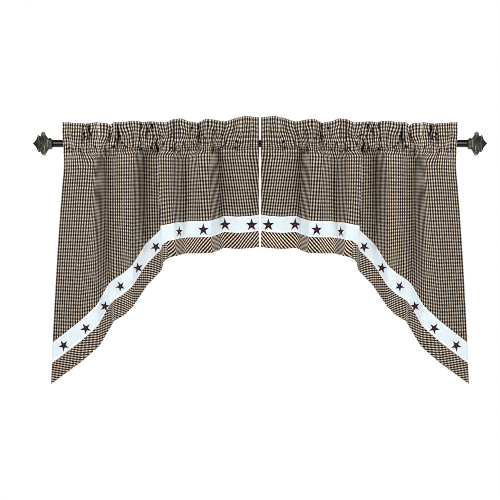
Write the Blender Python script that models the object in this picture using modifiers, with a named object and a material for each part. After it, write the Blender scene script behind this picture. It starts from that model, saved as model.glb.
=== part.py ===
"""A pair of swag valance panels, gathered side by side on one curtain rod.

Each panel is one width of checked cloth. Its top is turned to the back and sewn
down to make a standing heading over a rod pocket. Its lower edge runs level beside
the middle of the pair and then slants down to a long outer corner. A plain star
band and a bias-cut check border, each in two mitred lengths, are sewn along that
edge. The rod carries a turned collar and a flared square cap at each end.

Frame: metres, +Z up, origin on the rod's axis midway between the panels, +X along
the rod to the viewer's right, +Y away from the viewer. Run in Blender 4.5.
"""

import math

import bmesh
import bpy
import numpy as np

MM = 0.001
COLLECTION_NAME = "swag_valance_pair"

# Rod and finials
ROD_RADIUS = 0.0127
ROD_HALF_LENGTH = 0.7215
ROD_SIDES = 32
PIECE_GAP = 0.0003
SEAM_GAP = 0.0008
COLLAR_LENGTH = 0.0092
COLLAR_RADIUS = 0.0205
COLLAR_CHAMFER = 0.0035
COLLAR_STEPS = 32
CAP_SECTOR_STEPS = 6

# Square finial cap, a row for each section from the collar out to the point.
# out: distance from the collar's face, corner: axis to corner, both in mm;
# power: the section's exponent, 2 round, 1 square, less for hollow sides;
# sweep: how far the corners lean out towards the point, in mm.
CAP_SECTIONS = (
    # out, corner, power, sweep
    (0.0, 20.5, 2.0, 0.0),
    (3.0, 23.0, 1.8, 0.0),
    (7.0, 30.0, 1.35, 1.5),
    (11.0, 42.0, 1.05, 3.5),
    (14.5, 57.0, 0.85, 6.0),
    (17.5, 57.5, 0.85, 6.0),
    (24.5, 44.5, 1.0, 3.0),
    (30.0, 34.0, 1.0, 1.5),
    (33.5, 34.5, 1.0, 1.5),
    (36.0, 41.0, 1.0, 1.5),
    (38.5, 40.0, 1.0, 1.0),
    (47.5, 17.5, 1.0, 0.5),
    (58.0, 1.2, 1.0, 0.0),
)

# Cloth
SHEET_THICKNESS = 0.0015
LAYER_HALF_GAP = 0.0026
POCKET_STANDOFF = 0.0153
HEADING_STITCH_RISE = 0.0290
MEAN_HEADING_TOP = 0.073
STITCHES_FOLLOW_TOP = 0.35
HEADING_SHARES = (0.6, 0.96)
SEAM_LEVEL = -0.0268
FLAP_BELOW_SEAM = 0.0050
OPEN_LENGTH = 0.062
FOLD_ROUNDING = 0.0105
ROUNDING_TAPS = 9
MAX_CELL = 0.0200
CLEAR_OF_MITRE = 0.009
SAME_PLACE = 1e-6
MERGE_DISTANCE = 5e-4

# Lower edge, as it was cut. Levels are heights above the rod's axis.
LEVEL_BAND_TOP = -0.2709
OUTER_BAND_TOP = -0.6923
MITRE_ACROSS_CLOTH = 0.5215
SLANT_SLOPE = (LEVEL_BAND_TOP - OUTER_BAND_TOP) / MITRE_ACROSS_CLOTH
BAND_WIDTH = 0.0560
MITRE_SAG = 0.0120
MITRE_SAG_REACH = 0.042
MITRE_SAG_FULL_FROM = 0.60
MITRE_SAG_FULL_TO = 0.65
MITRE_SAG_LEFT_AT_HEM = 0.40

# Fold lines of a panel below the pocket, from the outer edge to the inner one,
# in mm. at_seam, at_half, at_hem: distance out from the middle of the pair at
# three heights; deep_top, deep_low: towards the viewer; lift: rise at the hem.
FOLD_LINES = (
    # at_seam, at_half, at_hem, deep_top, deep_low, lift
    (680, 710, 727, -40, -34, 0),
    (610, 624, 624, 13, 11, -5),
    (572, 572, 560, 20, 20, 8),
    (544, 537, 515, -38, -38, 27),
    (516, 513, 504, -35, -35, 24),
    (485, 482, 471, 7, 10, 0),
    (438, 443, 442, 17, 17, -3),
    (403, 402, 393, -45, -44, 12),
    (351, 347, 343, -28, -33, 17),
    (357, 348, 335, 18, 15, 2),
    (302, 302, 297, 24, 21, -2),
    (271, 268, 262, -38, -35, -2),
    (252, 249, 245, -35, -31, 1),
    (219, 210, 207, 8, 10, 1),
    (176, 174, 172, 17, 17, 3),
    (150, 143, 137, -40, -36, 15),
    (136, 127, 120, -35, -31, 20),
    (92, 80, 78, 10, 10, 19),
    (37, 35, 35, 14, 13, 18),
    (4, 4, 4, -10, -10, 21),
)

# Gathers of the heading and pocket, outer edge to inner edge, in mm.
# across: distance out from the middle of the pair; deep: towards the viewer;
# top: height of the heading's upper edge; seam: height of the pocket's seam.
GATHERS = (
    # across, deep, top, seam
    (687, -4, 73, -27),
    (659, 9, 74, -26),
    (624, 4, 71, -25),
    (595, -20, 70, -27),
    (570, 11, 73, -25),
    (544, 6, 71, -24),
    (522, -16, 64, -23),
    (506, 5, 76, -24),
    (494, -19, 73, -23),
    (474, 9, 75, -22),
    (440, 6, 80, -20),
    (415, -15, 75, -20),
    (393, 7, 74, -20),
    (374, -18, 77, -21),
    (353, 9, 77, -22),
    (322, 8, 74, -21),
    (298, -20, 85, -22),
    (273, 11, 87, -23),
    (242, 0, 77, -22),
    (210, -21, 72, -20),
    (190, 11, 87, -19),
    (162, -10, 84, -18),
    (146, 5, 79, -18),
    (127, -12, 77, -17),
    (96, 11, 87, -16.5),
    (50, 10, 97, -16),
    (4, -2, 91, -16),
)
GATHER_AT_STITCHES = 0.55
GATHER_AT_ROD = 0.04

# Rows of the grid
POCKET_FRONT_ROWS = 6
POCKET_BACK_ROWS = 6
BODY_ROWS = 12
BODY_ROW_GRADING = 1.5
BAND_ROWS = 2

# Materials: colour, roughness, metallic
CHECK_CLOTH = ("checked_cotton", (0.175, 0.145, 0.120), 0.92, 0.0)
BIAS_CLOTH = ("bias_checked_cotton", (0.150, 0.122, 0.100), 0.92, 0.0)
BAND_CLOTH = ("star_band_cotton", (0.76, 0.82, 0.84), 0.90, 0.0)
ROD_METAL = ("dark_bronze_rod", (0.016, 0.009, 0.008), 0.34, 0.8)
CAP_METAL = ("pewter_finial", (0.120, 0.118, 0.098), 0.42, 0.8)


def clear_scene():
    """Remove every object that the open file holds."""
    for thing in list(bpy.data.objects):
        bpy.data.objects.remove(thing, do_unlink=True)


def make_collection(name):
    """Make the collection that holds the pieces."""
    collection = bpy.data.collections.new(name)
    bpy.context.scene.collection.children.link(collection)
    return collection


def make_material(name, colour, roughness, metallic):
    """Make one Principled material."""
    material = bpy.data.materials.new(name)
    material.use_nodes = True
    shader = material.node_tree.nodes["Principled BSDF"]
    shader.inputs["Base Color"].default_value = (*colour, 1.0)
    shader.inputs["Roughness"].default_value = roughness
    shader.inputs["Metallic"].default_value = metallic
    material.diffuse_color = (*colour, 1.0)
    return material


def smooth_step(value):
    """Ease from 0 to 1 as the value goes from 0 to 1."""
    t = np.clip(value, 0.0, 1.0)
    return t * t * (3.0 - 2.0 * t)


def lengths_along(across, deep):
    """Running length of a polyline, from its first point."""
    steps = np.hypot(np.diff(across), np.diff(deep))
    return np.concatenate([[0.0], np.cumsum(steps)])


class Cloth:
    """The folded surface of the left panel, as functions of the flat cloth.

    u runs across the flat cloth from its outer edge, in metres. Between fold
    lines the cloth is straight, and each fold is rounded by averaging the
    straight course over a short stretch on both sides.
    """

    def __init__(self):
        folds = np.array(FOLD_LINES, dtype=float) * MM
        gathers = np.array(GATHERS, dtype=float) * MM
        half_deep = (folds[:, 3] + folds[:, 4]) / 2.0
        self.fold_u = lengths_along(folds[:, 1], half_deep)
        gather_u = lengths_along(gathers[:, 0], gathers[:, 1])
        self.width = self.fold_u[-1]
        self.gather_u = gather_u * self.width / gather_u[-1]
        self.folds = folds
        self.gathers = gathers

    def rounded(self, u, table_u, values):
        """Read a table between its rows, with every corner rounded."""
        first_slope = (values[1] - values[0]) / (table_u[1] - table_u[0])
        last_slope = (values[-1] - values[-2]) / (table_u[-1] - table_u[-2])
        reach = 2.0 * FOLD_ROUNDING
        long_u = np.concatenate([[table_u[0] - reach], table_u, [table_u[-1] + reach]])
        ends = values[0] - first_slope * reach, values[-1] + last_slope * reach
        long_values = np.concatenate([[ends[0]], values, [ends[1]]])
        total = np.zeros_like(u)
        weight_sum = 0.0
        for tap in np.linspace(-1.0, 1.0, ROUNDING_TAPS + 2)[1:-1]:
            weight = 1.0 - tap * tap
            total += weight * np.interp(u + tap * FOLD_ROUNDING, long_u, long_values)
            weight_sum += weight
        return total / weight_sum

    def gathered(self, u, column):
        """One column of the gathers at u."""
        return self.rounded(u, self.gather_u, self.gathers[:, column])

    def folded(self, u, column):
        """One column of the fold lines at u."""
        return self.rounded(u, self.fold_u, self.folds[:, column])

    def stitch_height(self, u):
        """Height of the upper stitches, which follow the heading's edge in part."""
        return HEADING_STITCH_RISE + STITCHES_FOLLOW_TOP * (self.gathered(u, 2) - MEAN_HEADING_TOP)

    def pocket(self, u, angle, side):
        """Point of the pocket: angle 0 at the upper stitches, pi at the seam.

        side is -1 on the front layer and +1 on the back one. The layers part
        as a half ellipse round the rod.
        """
        top = self.stitch_height(u)
        seam = self.gathered(u, 3)
        upper = angle < math.pi / 2
        height = np.where(upper, top * np.cos(angle), -seam * np.cos(angle))
        swell = np.sin(angle)
        half = LAYER_HALF_GAP + (POCKET_STANDOFF - LAYER_HALF_GAP) * swell
        ripple = GATHER_AT_STITCHES + (GATHER_AT_ROD - GATHER_AT_STITCHES) * swell
        return self.gathered(u, 0), side * half - ripple * self.gathered(u, 1), height

    def heading(self, u, share, side):
        """Point of the standing heading: share 0 at its stitches, 1 at its edge."""
        low = self.stitch_height(u)
        height = low + share * (self.gathered(u, 2) - low)
        ripple = GATHER_AT_STITCHES + (1.0 - GATHER_AT_STITCHES) * share
        half = LAYER_HALF_GAP * np.ones_like(u)
        return self.gathered(u, 0), side * half - ripple * self.gathered(u, 1), height

    def body(self, u, level):
        """Point of the hanging cloth; level is the flat cloth's own height."""
        hem = self.line_level(u, 2)
        share = np.clip((level - SEAM_LEVEL) / (hem - SEAM_LEVEL), 0.0, 1.0)
        open_share = smooth_step((SEAM_LEVEL - level) / OPEN_LENGTH)
        seam_weight = 2.0 * (share - 0.5) * (share - 1.0)
        half_weight = 4.0 * share * (1.0 - share)
        hem_weight = 2.0 * share * (share - 0.5)
        across = seam_weight * self.folded(u, 0)
        across = across + half_weight * self.folded(u, 1)
        across = across + hem_weight * self.folded(u, 2)
        deep = self.folded(u, 3) + share * (self.folded(u, 4) - self.folded(u, 3))
        across = self.gathered(u, 0) + open_share * (across - self.gathered(u, 0))
        gather_deep = GATHER_AT_STITCHES * self.gathered(u, 1)
        deep = gather_deep + open_share * (deep - gather_deep)
        rise_top = self.gathered(u, 3) - SEAM_LEVEL
        rise = rise_top + share**3 * (self.folded(u, 5) - rise_top)
        corner = MITRE_ACROSS_CLOTH + (LEVEL_BAND_TOP - level) * self.mitre_lean()
        off_corner = (u - corner) / MITRE_SAG_REACH
        near_hem = smooth_step((share - MITRE_SAG_FULL_TO) / (1.0 - MITRE_SAG_FULL_TO))
        sag = smooth_step(share / MITRE_SAG_FULL_FROM) * (1.0 - (1.0 - MITRE_SAG_LEFT_AT_HEM) * near_hem)
        rise = rise - MITRE_SAG * np.exp(-off_corner * off_corner) * sag
        return across, -LAYER_HALF_GAP - deep, level + rise

    def mitre_lean(self):
        """How far the mitre moves inwards for each metre down: half the turn."""
        return math.tan(math.atan(SLANT_SLOPE) / 2.0)

    def mitre_u(self, line):
        """Where a line of the border turns: 0 band top, 1 band foot, 2 hem."""
        return MITRE_ACROSS_CLOTH + line * BAND_WIDTH * self.mitre_lean()

    def line_level(self, u, line):
        """Height of a line of the border on the flat cloth, level then slanting."""
        level = LEVEL_BAND_TOP - line * BAND_WIDTH
        return level - SLANT_SLOPE * np.clip(self.mitre_u(line) - u, 0.0, None)

    def columns(self):
        """Places across the cloth where the grid has a column."""
        mitres = [self.mitre_u(line) for line in range(3)]
        places = [self.fold_u[0]]
        for start, stop in zip(self.fold_u[:-1], self.fold_u[1:]):
            count = max(1, round((stop - start) / MAX_CELL))
            places.extend(start + (stop - start) * np.arange(1, count + 1) / count)
        before = [place for place in places if place < mitres[0] - CLEAR_OF_MITRE]
        after = [place for place in places if place > mitres[2] + CLEAR_OF_MITRE]
        return np.array(before + mitres + after)


def placed(points, mirror):
    """Turn distances from the middle into X, on the left or the right panel."""
    across, deep, height = points
    x = across if mirror else -across
    return np.stack([x, deep, height], axis=-1)


def panel_rows(cloth, u):
    """Rows of the whole checked cloth, from the flap behind to the star band."""
    flap = list(cloth.pocket(u, np.full_like(u, math.pi), 1.0))
    flap[2] = flap[2] - FLAP_BELOW_SEAM
    rows = [tuple(flap)]
    for step in range(POCKET_BACK_ROWS + 1):
        angle = math.pi * (1.0 - step / POCKET_BACK_ROWS)
        rows.append(cloth.pocket(u, np.full_like(u, angle), 1.0))
    rows.extend(cloth.heading(u, share, 1.0) for share in HEADING_SHARES)
    rows.append(cloth.heading(u, 1.0, 0.0))
    rows.extend(cloth.heading(u, share, -1.0) for share in reversed(HEADING_SHARES))
    for step in range(POCKET_FRONT_ROWS):
        angle = math.pi * step / POCKET_FRONT_ROWS
        rows.append(cloth.pocket(u, np.full_like(u, angle), -1.0))
    foot = cloth.line_level(u, 0) + SEAM_GAP / 2.0
    for step in range(BODY_ROWS + 1):
        share = (step / BODY_ROWS) ** BODY_ROW_GRADING
        rows.append(cloth.body(u, SEAM_LEVEL + share * (foot - SEAM_LEVEL)))
    return rows


def strip_rows(cloth, columns, upper_line, slanted):
    """Rows of one length of band or border, cut off at the mitre."""
    rows = []
    start = cloth.mitre_u(upper_line)
    stop = cloth.mitre_u(upper_line + 1)
    for step in range(BAND_ROWS + 1):
        share = step / BAND_ROWS
        corner = start + share * (stop - start)
        if slanted:
            corner = corner - SEAM_GAP / 2.0
            whole = columns[columns < start - SAME_PLACE]
            u = np.concatenate([whole, [min(start, corner), corner]])
        else:
            corner = corner + SEAM_GAP / 2.0
            whole = columns[columns > stop + SAME_PLACE]
            u = np.concatenate([[corner, max(stop, corner)], whole])
        top = cloth.line_level(u, upper_line) - SEAM_GAP / 2.0
        foot = cloth.line_level(u, upper_line + 1) + SEAM_GAP / 2.0
        rows.append(cloth.body(u, top + share * (foot - top)))
    return rows


def sheet_object(name, rows, mirror, material, collection):
    """Make an open sheet from rows of points and give it its thickness."""
    points = np.stack([placed(row, mirror) for row in rows])
    row_count, column_count = points.shape[:2]
    index = np.arange(row_count * column_count).reshape(row_count, column_count)
    a = index[:-1, :-1].ravel()
    b = index[:-1, 1:].ravel()
    c = index[1:, 1:].ravel()
    d = index[1:, :-1].ravel()
    quads = np.stack([a, d, c, b] if not mirror else [a, b, c, d], axis=1)
    mesh = bpy.data.meshes.new(name)
    mesh.from_pydata(points.reshape(-1, 3).tolist(), [], quads.tolist())
    work = bmesh.new()
    work.from_mesh(mesh)
    bmesh.ops.remove_doubles(work, verts=work.verts, dist=MERGE_DISTANCE)
    work.to_mesh(mesh)
    work.free()
    mesh.shade_smooth()
    mesh.materials.append(material)
    piece = bpy.data.objects.new(name, mesh)
    collection.objects.link(piece)
    wall = piece.modifiers.new("thickness", "SOLIDIFY")
    wall.thickness = SHEET_THICKNESS
    wall.offset = 0.0
    return piece


def make_panel(side, cloth, materials, collection):
    """Make one panel: the checked cloth, the star band and the bias border."""
    mirror = side == "right"
    columns = cloth.columns()
    rows = panel_rows(cloth, columns)
    sheet_object(f"cloth_{side}", rows, mirror, materials["check"], collection)
    for name, line, slot in (("star_band", 0, "band"), ("bias_border", 1, "bias")):
        for run, slanted in (("level", False), ("slanted", True)):
            rows = strip_rows(cloth, columns, line, slanted)
            sheet_object(f"{name}_{run}_{side}", rows, mirror, materials[slot], collection)


def make_rod(material, collection):
    """Make the rod from a cylinder laid along X."""
    bpy.ops.mesh.primitive_cylinder_add(
        vertices=ROD_SIDES,
        radius=ROD_RADIUS,
        depth=2.0 * ROD_HALF_LENGTH,
        rotation=(0.0, math.pi / 2, 0.0),
    )
    rod = bpy.context.active_object
    rod.name = "rod"
    rod.data.name = "rod"
    for owner in list(rod.users_collection):
        owner.objects.unlink(rod)
    collection.objects.link(rod)
    rod.data.materials.append(material)
    rod.data.shade_smooth()
    rod.data.set_sharp_from_angle(angle=math.radians(40))
    return rod


def make_collar(side, material, collection):
    """Make the turned collar between the rod's end and the cap."""
    start = ROD_HALF_LENGTH + PIECE_GAP
    stop = start + COLLAR_LENGTH
    inner = COLLAR_RADIUS - 2.0 * COLLAR_CHAMFER
    profile = [
        (0.0, stop),
        (COLLAR_RADIUS - COLLAR_CHAMFER / 4.0, stop),
        (COLLAR_RADIUS, stop - COLLAR_CHAMFER / 4.0),
        (COLLAR_RADIUS, start + COLLAR_CHAMFER),
        (inner, start),
        (0.0, start),
    ]
    mesh = bpy.data.meshes.new(f"finial_collar_{side}")
    points = [(radius, 0.0, out) for radius, out in profile]
    edges = [(i, i + 1) for i in range(len(points) - 1)]
    mesh.from_pydata(points, edges, [])
    mesh.materials.append(material)
    collar = bpy.data.objects.new(f"finial_collar_{side}", mesh)
    turn = collar.modifiers.new("turned", "SCREW")
    turn.axis = "Z"
    turn.steps = COLLAR_STEPS
    turn.render_steps = COLLAR_STEPS
    turn.use_merge_vertices = True
    turn.merge_threshold = 0.0001
    turn.use_smooth_shade = False
    collar.rotation_euler = (0.0, math.pi / 2 if side == "right" else -math.pi / 2, 0.0)
    collection.objects.link(collar)
    return collar


def cap_section(corner, power, steps):
    """Ring of a rounded, square or hollow-sided section with corners at 45 degrees.

    The ring is the curve |a|^power + |b|^power = corner^power, turned by 45
    degrees; the second result is 1 at the corners and 0 at mid-side.
    """
    t = np.arange(4 * steps) * (math.pi / 2) / steps
    cosine = np.round(np.cos(t), 9)
    sine = np.round(np.sin(t), 9)
    a = np.sign(cosine) * np.abs(cosine) ** (2.0 / power)
    b = np.sign(sine) * np.abs(sine) ** (2.0 / power)
    turn = math.pi / 4
    y = corner * (a * math.cos(turn) - b * math.sin(turn))
    z = corner * (a * math.sin(turn) + b * math.cos(turn))
    return y, z, np.cos(2.0 * t) ** 2


def make_cap(side, material, collection):
    """Loft the flared square cap through its sections and close both ends."""
    sign = 1.0 if side == "right" else -1.0
    start = ROD_HALF_LENGTH + COLLAR_LENGTH + 2.0 * PIECE_GAP
    rings = []
    for out, corner, power, sweep in CAP_SECTIONS:
        y, z, corner_share = cap_section(corner * MM, power, CAP_SECTOR_STEPS)
        x = sign * (start + out * MM + sweep * MM * corner_share)
        rings.append(np.stack([x, y, z], axis=1))
    points = np.concatenate(rings)
    count = rings[0].shape[0]
    ring = np.arange(count)
    after = (ring + 1) % count
    faces = []
    for row in range(len(rings) - 1):
        low = row * count
        high = low + count
        faces.extend(np.stack([low + ring, low + after, high + after, high + ring], axis=1).tolist())
    faces.append(ring[::-1].tolist())
    faces.append(((len(rings) - 1) * count + ring).tolist())
    mesh = bpy.data.meshes.new(f"finial_cap_{side}")
    mesh.from_pydata(points.tolist(), [], faces)
    work = bmesh.new()
    work.from_mesh(mesh)
    bmesh.ops.recalc_face_normals(work, faces=work.faces)
    work.to_mesh(mesh)
    work.free()
    mesh.materials.append(material)
    cap = bpy.data.objects.new(f"finial_cap_{side}", mesh)
    collection.objects.link(cap)
    return cap


def main():
    """Build the rod, its finials and the two panels."""
    clear_scene()
    collection = make_collection(COLLECTION_NAME)
    rod_metal = make_material(*ROD_METAL)
    cap_metal = make_material(*CAP_METAL)
    materials = {
        "check": make_material(*CHECK_CLOTH),
        "bias": make_material(*BIAS_CLOTH),
        "band": make_material(*BAND_CLOTH),
    }
    make_rod(rod_metal, collection)
    cloth = Cloth()
    for side in ("left", "right"):
        make_collar(side, cap_metal, collection)
        make_cap(side, cap_metal, collection)
        make_panel(side, cloth, materials, collection)


main()
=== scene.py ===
"""Swag valance panels on a curtain rod: the dressed model, laid out as an add-on.

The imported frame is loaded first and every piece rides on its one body. Each panel
is one gathered width of checked cloth with a star band and a bias-cut border, and
the right panel is the mirror image of the left one. All surfaces are functions of
the flat cloth, in metres, with +Z up, +X along the rod and +Y away from the viewer.
"""

import math

import bmesh
import bpy
import numpy as np
from bpy.props import FloatProperty, FloatVectorProperty, PointerProperty
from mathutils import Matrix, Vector


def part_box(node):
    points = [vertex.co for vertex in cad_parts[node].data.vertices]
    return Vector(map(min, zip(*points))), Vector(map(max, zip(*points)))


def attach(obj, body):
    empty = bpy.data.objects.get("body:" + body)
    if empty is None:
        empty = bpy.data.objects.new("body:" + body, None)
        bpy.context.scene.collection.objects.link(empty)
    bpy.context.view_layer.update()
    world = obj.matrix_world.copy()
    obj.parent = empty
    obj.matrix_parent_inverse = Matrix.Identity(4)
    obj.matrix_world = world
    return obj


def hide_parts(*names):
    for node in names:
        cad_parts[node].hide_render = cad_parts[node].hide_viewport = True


bl_info = {
    "name": "Swag Valance Pair",
    "version": (1, 0, 0),
    "blender": (4, 5, 0),
    "location": "3D View > Sidebar > Valance",
    "description": "Gathered swag valance panels with star bands on a curtain rod",
    "category": "Object",
}

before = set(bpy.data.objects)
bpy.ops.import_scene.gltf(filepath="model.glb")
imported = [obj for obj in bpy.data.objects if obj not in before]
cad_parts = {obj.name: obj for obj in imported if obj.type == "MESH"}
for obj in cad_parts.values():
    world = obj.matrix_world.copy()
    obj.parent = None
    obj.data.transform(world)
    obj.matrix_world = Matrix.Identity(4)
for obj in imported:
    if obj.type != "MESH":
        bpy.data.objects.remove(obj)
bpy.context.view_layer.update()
ROD_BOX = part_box("rod")

MM = 0.001
SIDES = ("left", "right")

# Rod and finials, from the frame
ROD_HALF_LENGTH = float(ROD_BOX[1][0])
ROD_RADIUS = float(ROD_BOX[1][2])

# Flat cloth, heights above the rod's axis in metres
SEAM_LEVEL = -0.0268
LEVEL_BAND_TOP = -0.2709
OUTER_BAND_TOP = -0.6923
MITRE_ACROSS_CLOTH = 0.5215
SLANT_SLOPE = (LEVEL_BAND_TOP - OUTER_BAND_TOP) / MITRE_ACROSS_CLOTH
SLANT_ANGLE = math.atan(SLANT_SLOPE)
MITRE_LEAN = math.tan(SLANT_ANGLE / 2.0)
BAND_WIDTH = 0.0560
MITRE_CUT = (0.5155, 0.5315, 0.5375)
MITRE_OVERLAP = 0.0015
MITRE_SAG = 0.0120
MITRE_SAG_REACH = 0.042
FLATTER_AT_FOOT = 0.40

# Heading and pocket
LAYER_HALF_GAP = 0.0022
STITCH_RISE = 0.0270
MEAN_TOP = 0.073
STITCHES_FOLLOW_TOP = 0.70
ROD_CLEARANCE = 0.0010
CREST_AT_ROD = 0.0052
CREASE_REACH = 0.012
CLEAR_OF_ROD = 0.0014
POCKET_ARC = 0.0570
HEADING_DROP = 0.0460
STITCH_V = SEAM_LEVEL + POCKET_ARC
TOP_V = STITCH_V + HEADING_DROP
BACK_STITCH_V = TOP_V + HEADING_DROP
BACK_SEAM_V = BACK_STITCH_V + POCKET_ARC
FLAP_V = BACK_SEAM_V + 0.008
OPEN_LENGTH = 0.030
OUTER_OPEN_LENGTH = 0.090
SEAM_FOLLOWS_FOLDS = 0.55
SEAM_DEPTH_OF_FOLDS = 0.35
FOLD_ROUNDING = 0.0095
LAP_AT = 0.468
LAP_REACH = 0.028
CREASE_ANGLE = math.radians(83)
CREASE_ROUNDING = 0.0022
OUTER_EDGE = 0.687
INNER_EDGE = 0.004

# Hanging part, as shares of the way from the seam down to the hem, each with the
# share it takes: where the lap's sharp corner opens and where the folds flatten; where
# the folds have slid to their places at the hem; how much the length of the opening
# gathers varies, and how much sharper the lap's corner is
LAP_OPENS = (0.62, 0.16)
FLATTENS = (0.55, 0.35)
SLID_BY = 0.75
OPEN_VARIES = 0.35
LAP_SHARPER = 0.65

# Heading and pocket: creases don't move within this distance from the side edges; they
# are shallower over this share of the way up; the upper edge turns over this share of
# the heading; powers that round the pocket over and under the rod
CALM_EDGE = 0.05
CREASES_EASE = (0.70, 0.30)
EDGE_TURNS = (0.93, 0.07)
POWER_OVER = 2.4
POWER_UNDER = 2.0

# Crumpling of the gathered zone: how far below the seam it begins; height over the
# seam, and reach, of the zone where it is strongest. Waves sideways and up and down:
# height, extra height in that zone, size across and up the cloth, and seed
CRUMPLED_BELOW = 0.018
STRONGEST = (0.012, 0.026)
SWAY_WAVES = ((0.0046, 0.0, 0.028, 0.031, 11), (0.0008, 0.0013, 0.014, 0.016, 12))
LIFT_WAVES = ((0.0034, 0.0, 0.022, 0.050, 13), (0.0, 0.0014, 0.012, 0.020, 14))

# Points that the heading's run is worked out at, and the distance over which the
# cloth's slope is measured
RUN_SAMPLES = 6001
SLOPE_STEP = 0.0005

# The heading's edge leans to and fro, and a tuck's line wanders, by this much
HEADING_CURL = 0.0030
TUCK_WANDER = 0.0011

# Seams and hems: cloth that goes on under the next strip, and how deep it lies there;
# stitches of the hem, of the band and of the sides from their edges; thickness of the
# band over the cloth, and of a stitch
TURNED_UNDER = 0.005
UNDER_DEPTH = 0.0011
HEM_STITCH_UP = 0.012
EDGE_STITCH_IN = 0.0034
SIDE_STITCH_IN = 0.010
BAND_LIFT = 0.0006
STITCH_LIFT = 0.0005

# Fold lines of a panel below the pocket, outer edge to inner edge, in mm.
# at_seam, at_half, at_hem: distance out from the middle of the pair at three
# heights; deep_top, deep_low: towards the viewer; lift: rise at the hem.
FOLD_LINES = (
    # at_seam, at_half, at_hem, deep_top, deep_low, lift
    (680, 710, 727, -40, -34, 0),
    (610, 624, 624, 13, 11, -3.4),
    (572, 572, 560, 20, 20, 8),
    (544, 537, 517, -38, -34, 34),
    (516, 513, 507, -35, -25, 23),
    (485, 482, 471, 7, 10, 15),
    (438, 443, 442, 17, 17, 5),
    (403, 402, 393, -45, -44, 13),
    (351, 347, 343, -28, -33, 18),
    (357, 348, 335, 18, 15, -0.7),
    (302, 302, 291, 24, 21, -2),
    (271, 268, 267, -38, -38, -2),
    (252, 249, 259, -35, -22, 1),
    (219, 210, 206, 8, 8, 1),
    (176, 174, 166, 17, 14, 3),
    (150, 143, 142, -40, -36, 13),
    (136, 127, 128, -35, -22, 20),
    (92, 80, 76, 10, 8, 16.5),
    (37, 35, 35, 14, 13, 19),
    (4, 4, 4, -10, -10, 23.5),
)

# Places of the fold lines across the flat cloth, in mm
FOLDS_AT = (
    0.0, 97.0, 151.6, 210.5, 243.5, 278.5, 327.0, 409.7, 466.4, 517.9, 565.9, 635.2, 651.7,
    713.7, 749.7, 822.2, 840.7, 891.7, 939.2, 970.165,
)

# Folds slant a little across the threads: thread's place across the cloth, and how far
# the folds have slid there at the seam and at the hem, in mm
SLID_AT_SEAM = (
    (0, 0), (75, 22), (116, 35.6), (210.5, 0), (466.4, 0), (513, 4.9), (570, -4.1), (635, 0),
    (840.7, 0), (884, 4.7), (941, -3.3), (970.2, 0),
)
SLID_AT_HEM = ((0, 0), (103, -6), (166, -14.4), (225, -14.5), (255, 0), (970.2, 0))

# The hem's corner sits higher than the mitre: places across the cloth, and lift, in mm
HEM_LIFT_AT = (488, 503, 518, 528, 538, 548, 558, 568, 583)
HEM_LIFT_BY = (0.0, 4.0, 7.0, 9.5, 8.5, 5.0, 1.0, -1.5, 0.0)

# One valley hangs more open than its fold lines: places across the flat cloth and
# how much nearer to the viewer, in mm.
EASED_AT = (604, 630, 659, 691)
EASED_BY = (0, 8, 14, 0)

# Heights of the heading's upper edge and of the pocket's seam, in mm, by distance
# out from the middle of the pair.
EDGE_HEIGHTS = (
    # across, top, seam
    (687, 73, -27),
    (659, 74, -26),
    (624, 71, -25),
    (595, 70, -27),
    (570, 73, -25),
    (544, 71, -24),
    (522, 64, -23),
    (506, 76, -24),
    (494, 73, -23),
    (474, 75, -22),
    (440, 80, -20),
    (415, 75, -20),
    (393, 74, -20),
    (374, 77, -21),
    (353, 77, -22),
    (322, 74, -21),
    (298, 85, -22),
    (273, 87, -23),
    (242, 77, -22),
    (210, 72, -20),
    (190, 87, -19),
    (162, 84, -18),
    (146, 79, -18),
    (127, 77, -17),
    (96, 87, -16.5),
    (50, 97, -16),
    (4, 91, -16),
)

# Creases that take up the fullness in the heading and pocket, outer to inner.
# across and depth in mm; lean in degrees, more of it laps the inner side over;
# top, seam: shares of the depth at the upper edge and at the seam; shift: how far
# the crease moves inwards from the upper edge down to the seam, and floor: width
# of its flat bottom, in mm.
CREASES = (
    # across, depth, lean, top, seam, shift, floor
    (657, 3.0, 0, 1.0, 0.8, 0, 0),
    (612, 8.0, 0, 0.4, 1.3, -4, 1),
    (593, 12.0, 2, 1.3, 0.6, 6, 4),
    (556, 3.5, 0, 1.0, 1.0, 0, 0),
    (522, 12.0, 2, 0.5, 1.2, -6, 3),
    (508, 5.0, 0, 0.5, 1.5, 0, 0),
    (493, 14.0, 2, 1.5, 0.6, 8, 6),
    (479, 6.0, 0, 0.3, 1.3, 10, 1),
    (448, 4.0, 0, 1.0, 0.8, 6, 0),
    (415, 14.0, 2, 0.8, 1.1, 2, 2),
    (392, 4.0, 0, 1.2, 0.8, 10, 0),
    (364, 20.0, 8, 1.0, 1.0, 34, 2),
    (348, 6.0, 4, 1.0, 1.2, 20, 0),
    (322, 4.0, 0, 0.8, 1.0, 6, 0),
    (297, 17.0, 3, 1.2, 1.2, 8, 4),
    (282, 7.0, 0, 0.4, 1.4, 4, 0),
    (245, 4.5, 0, 1.0, 0.7, 0, 0),
    (210, 17.0, 0, 1.4, 0.6, 6, 6),
    (188, 4.0, 0, 1.0, 1.0, 4, 0),
    (159, 11.0, 0, 0.5, 1.4, -2, 4),
    (127, 13.0, 2, 0.9, 1.2, -10, 3),
    (98, 3.5, 0, 1.0, 1.4, -8, 0),
    (70, 4.0, 0, 0.7, 1.0, -2, 0),
    (34, 4.0, 0, 1.0, 0.8, 0, 0),
)
ZONE_BULGE = 0.28
GRAIN_LEAN = 0.12

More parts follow.
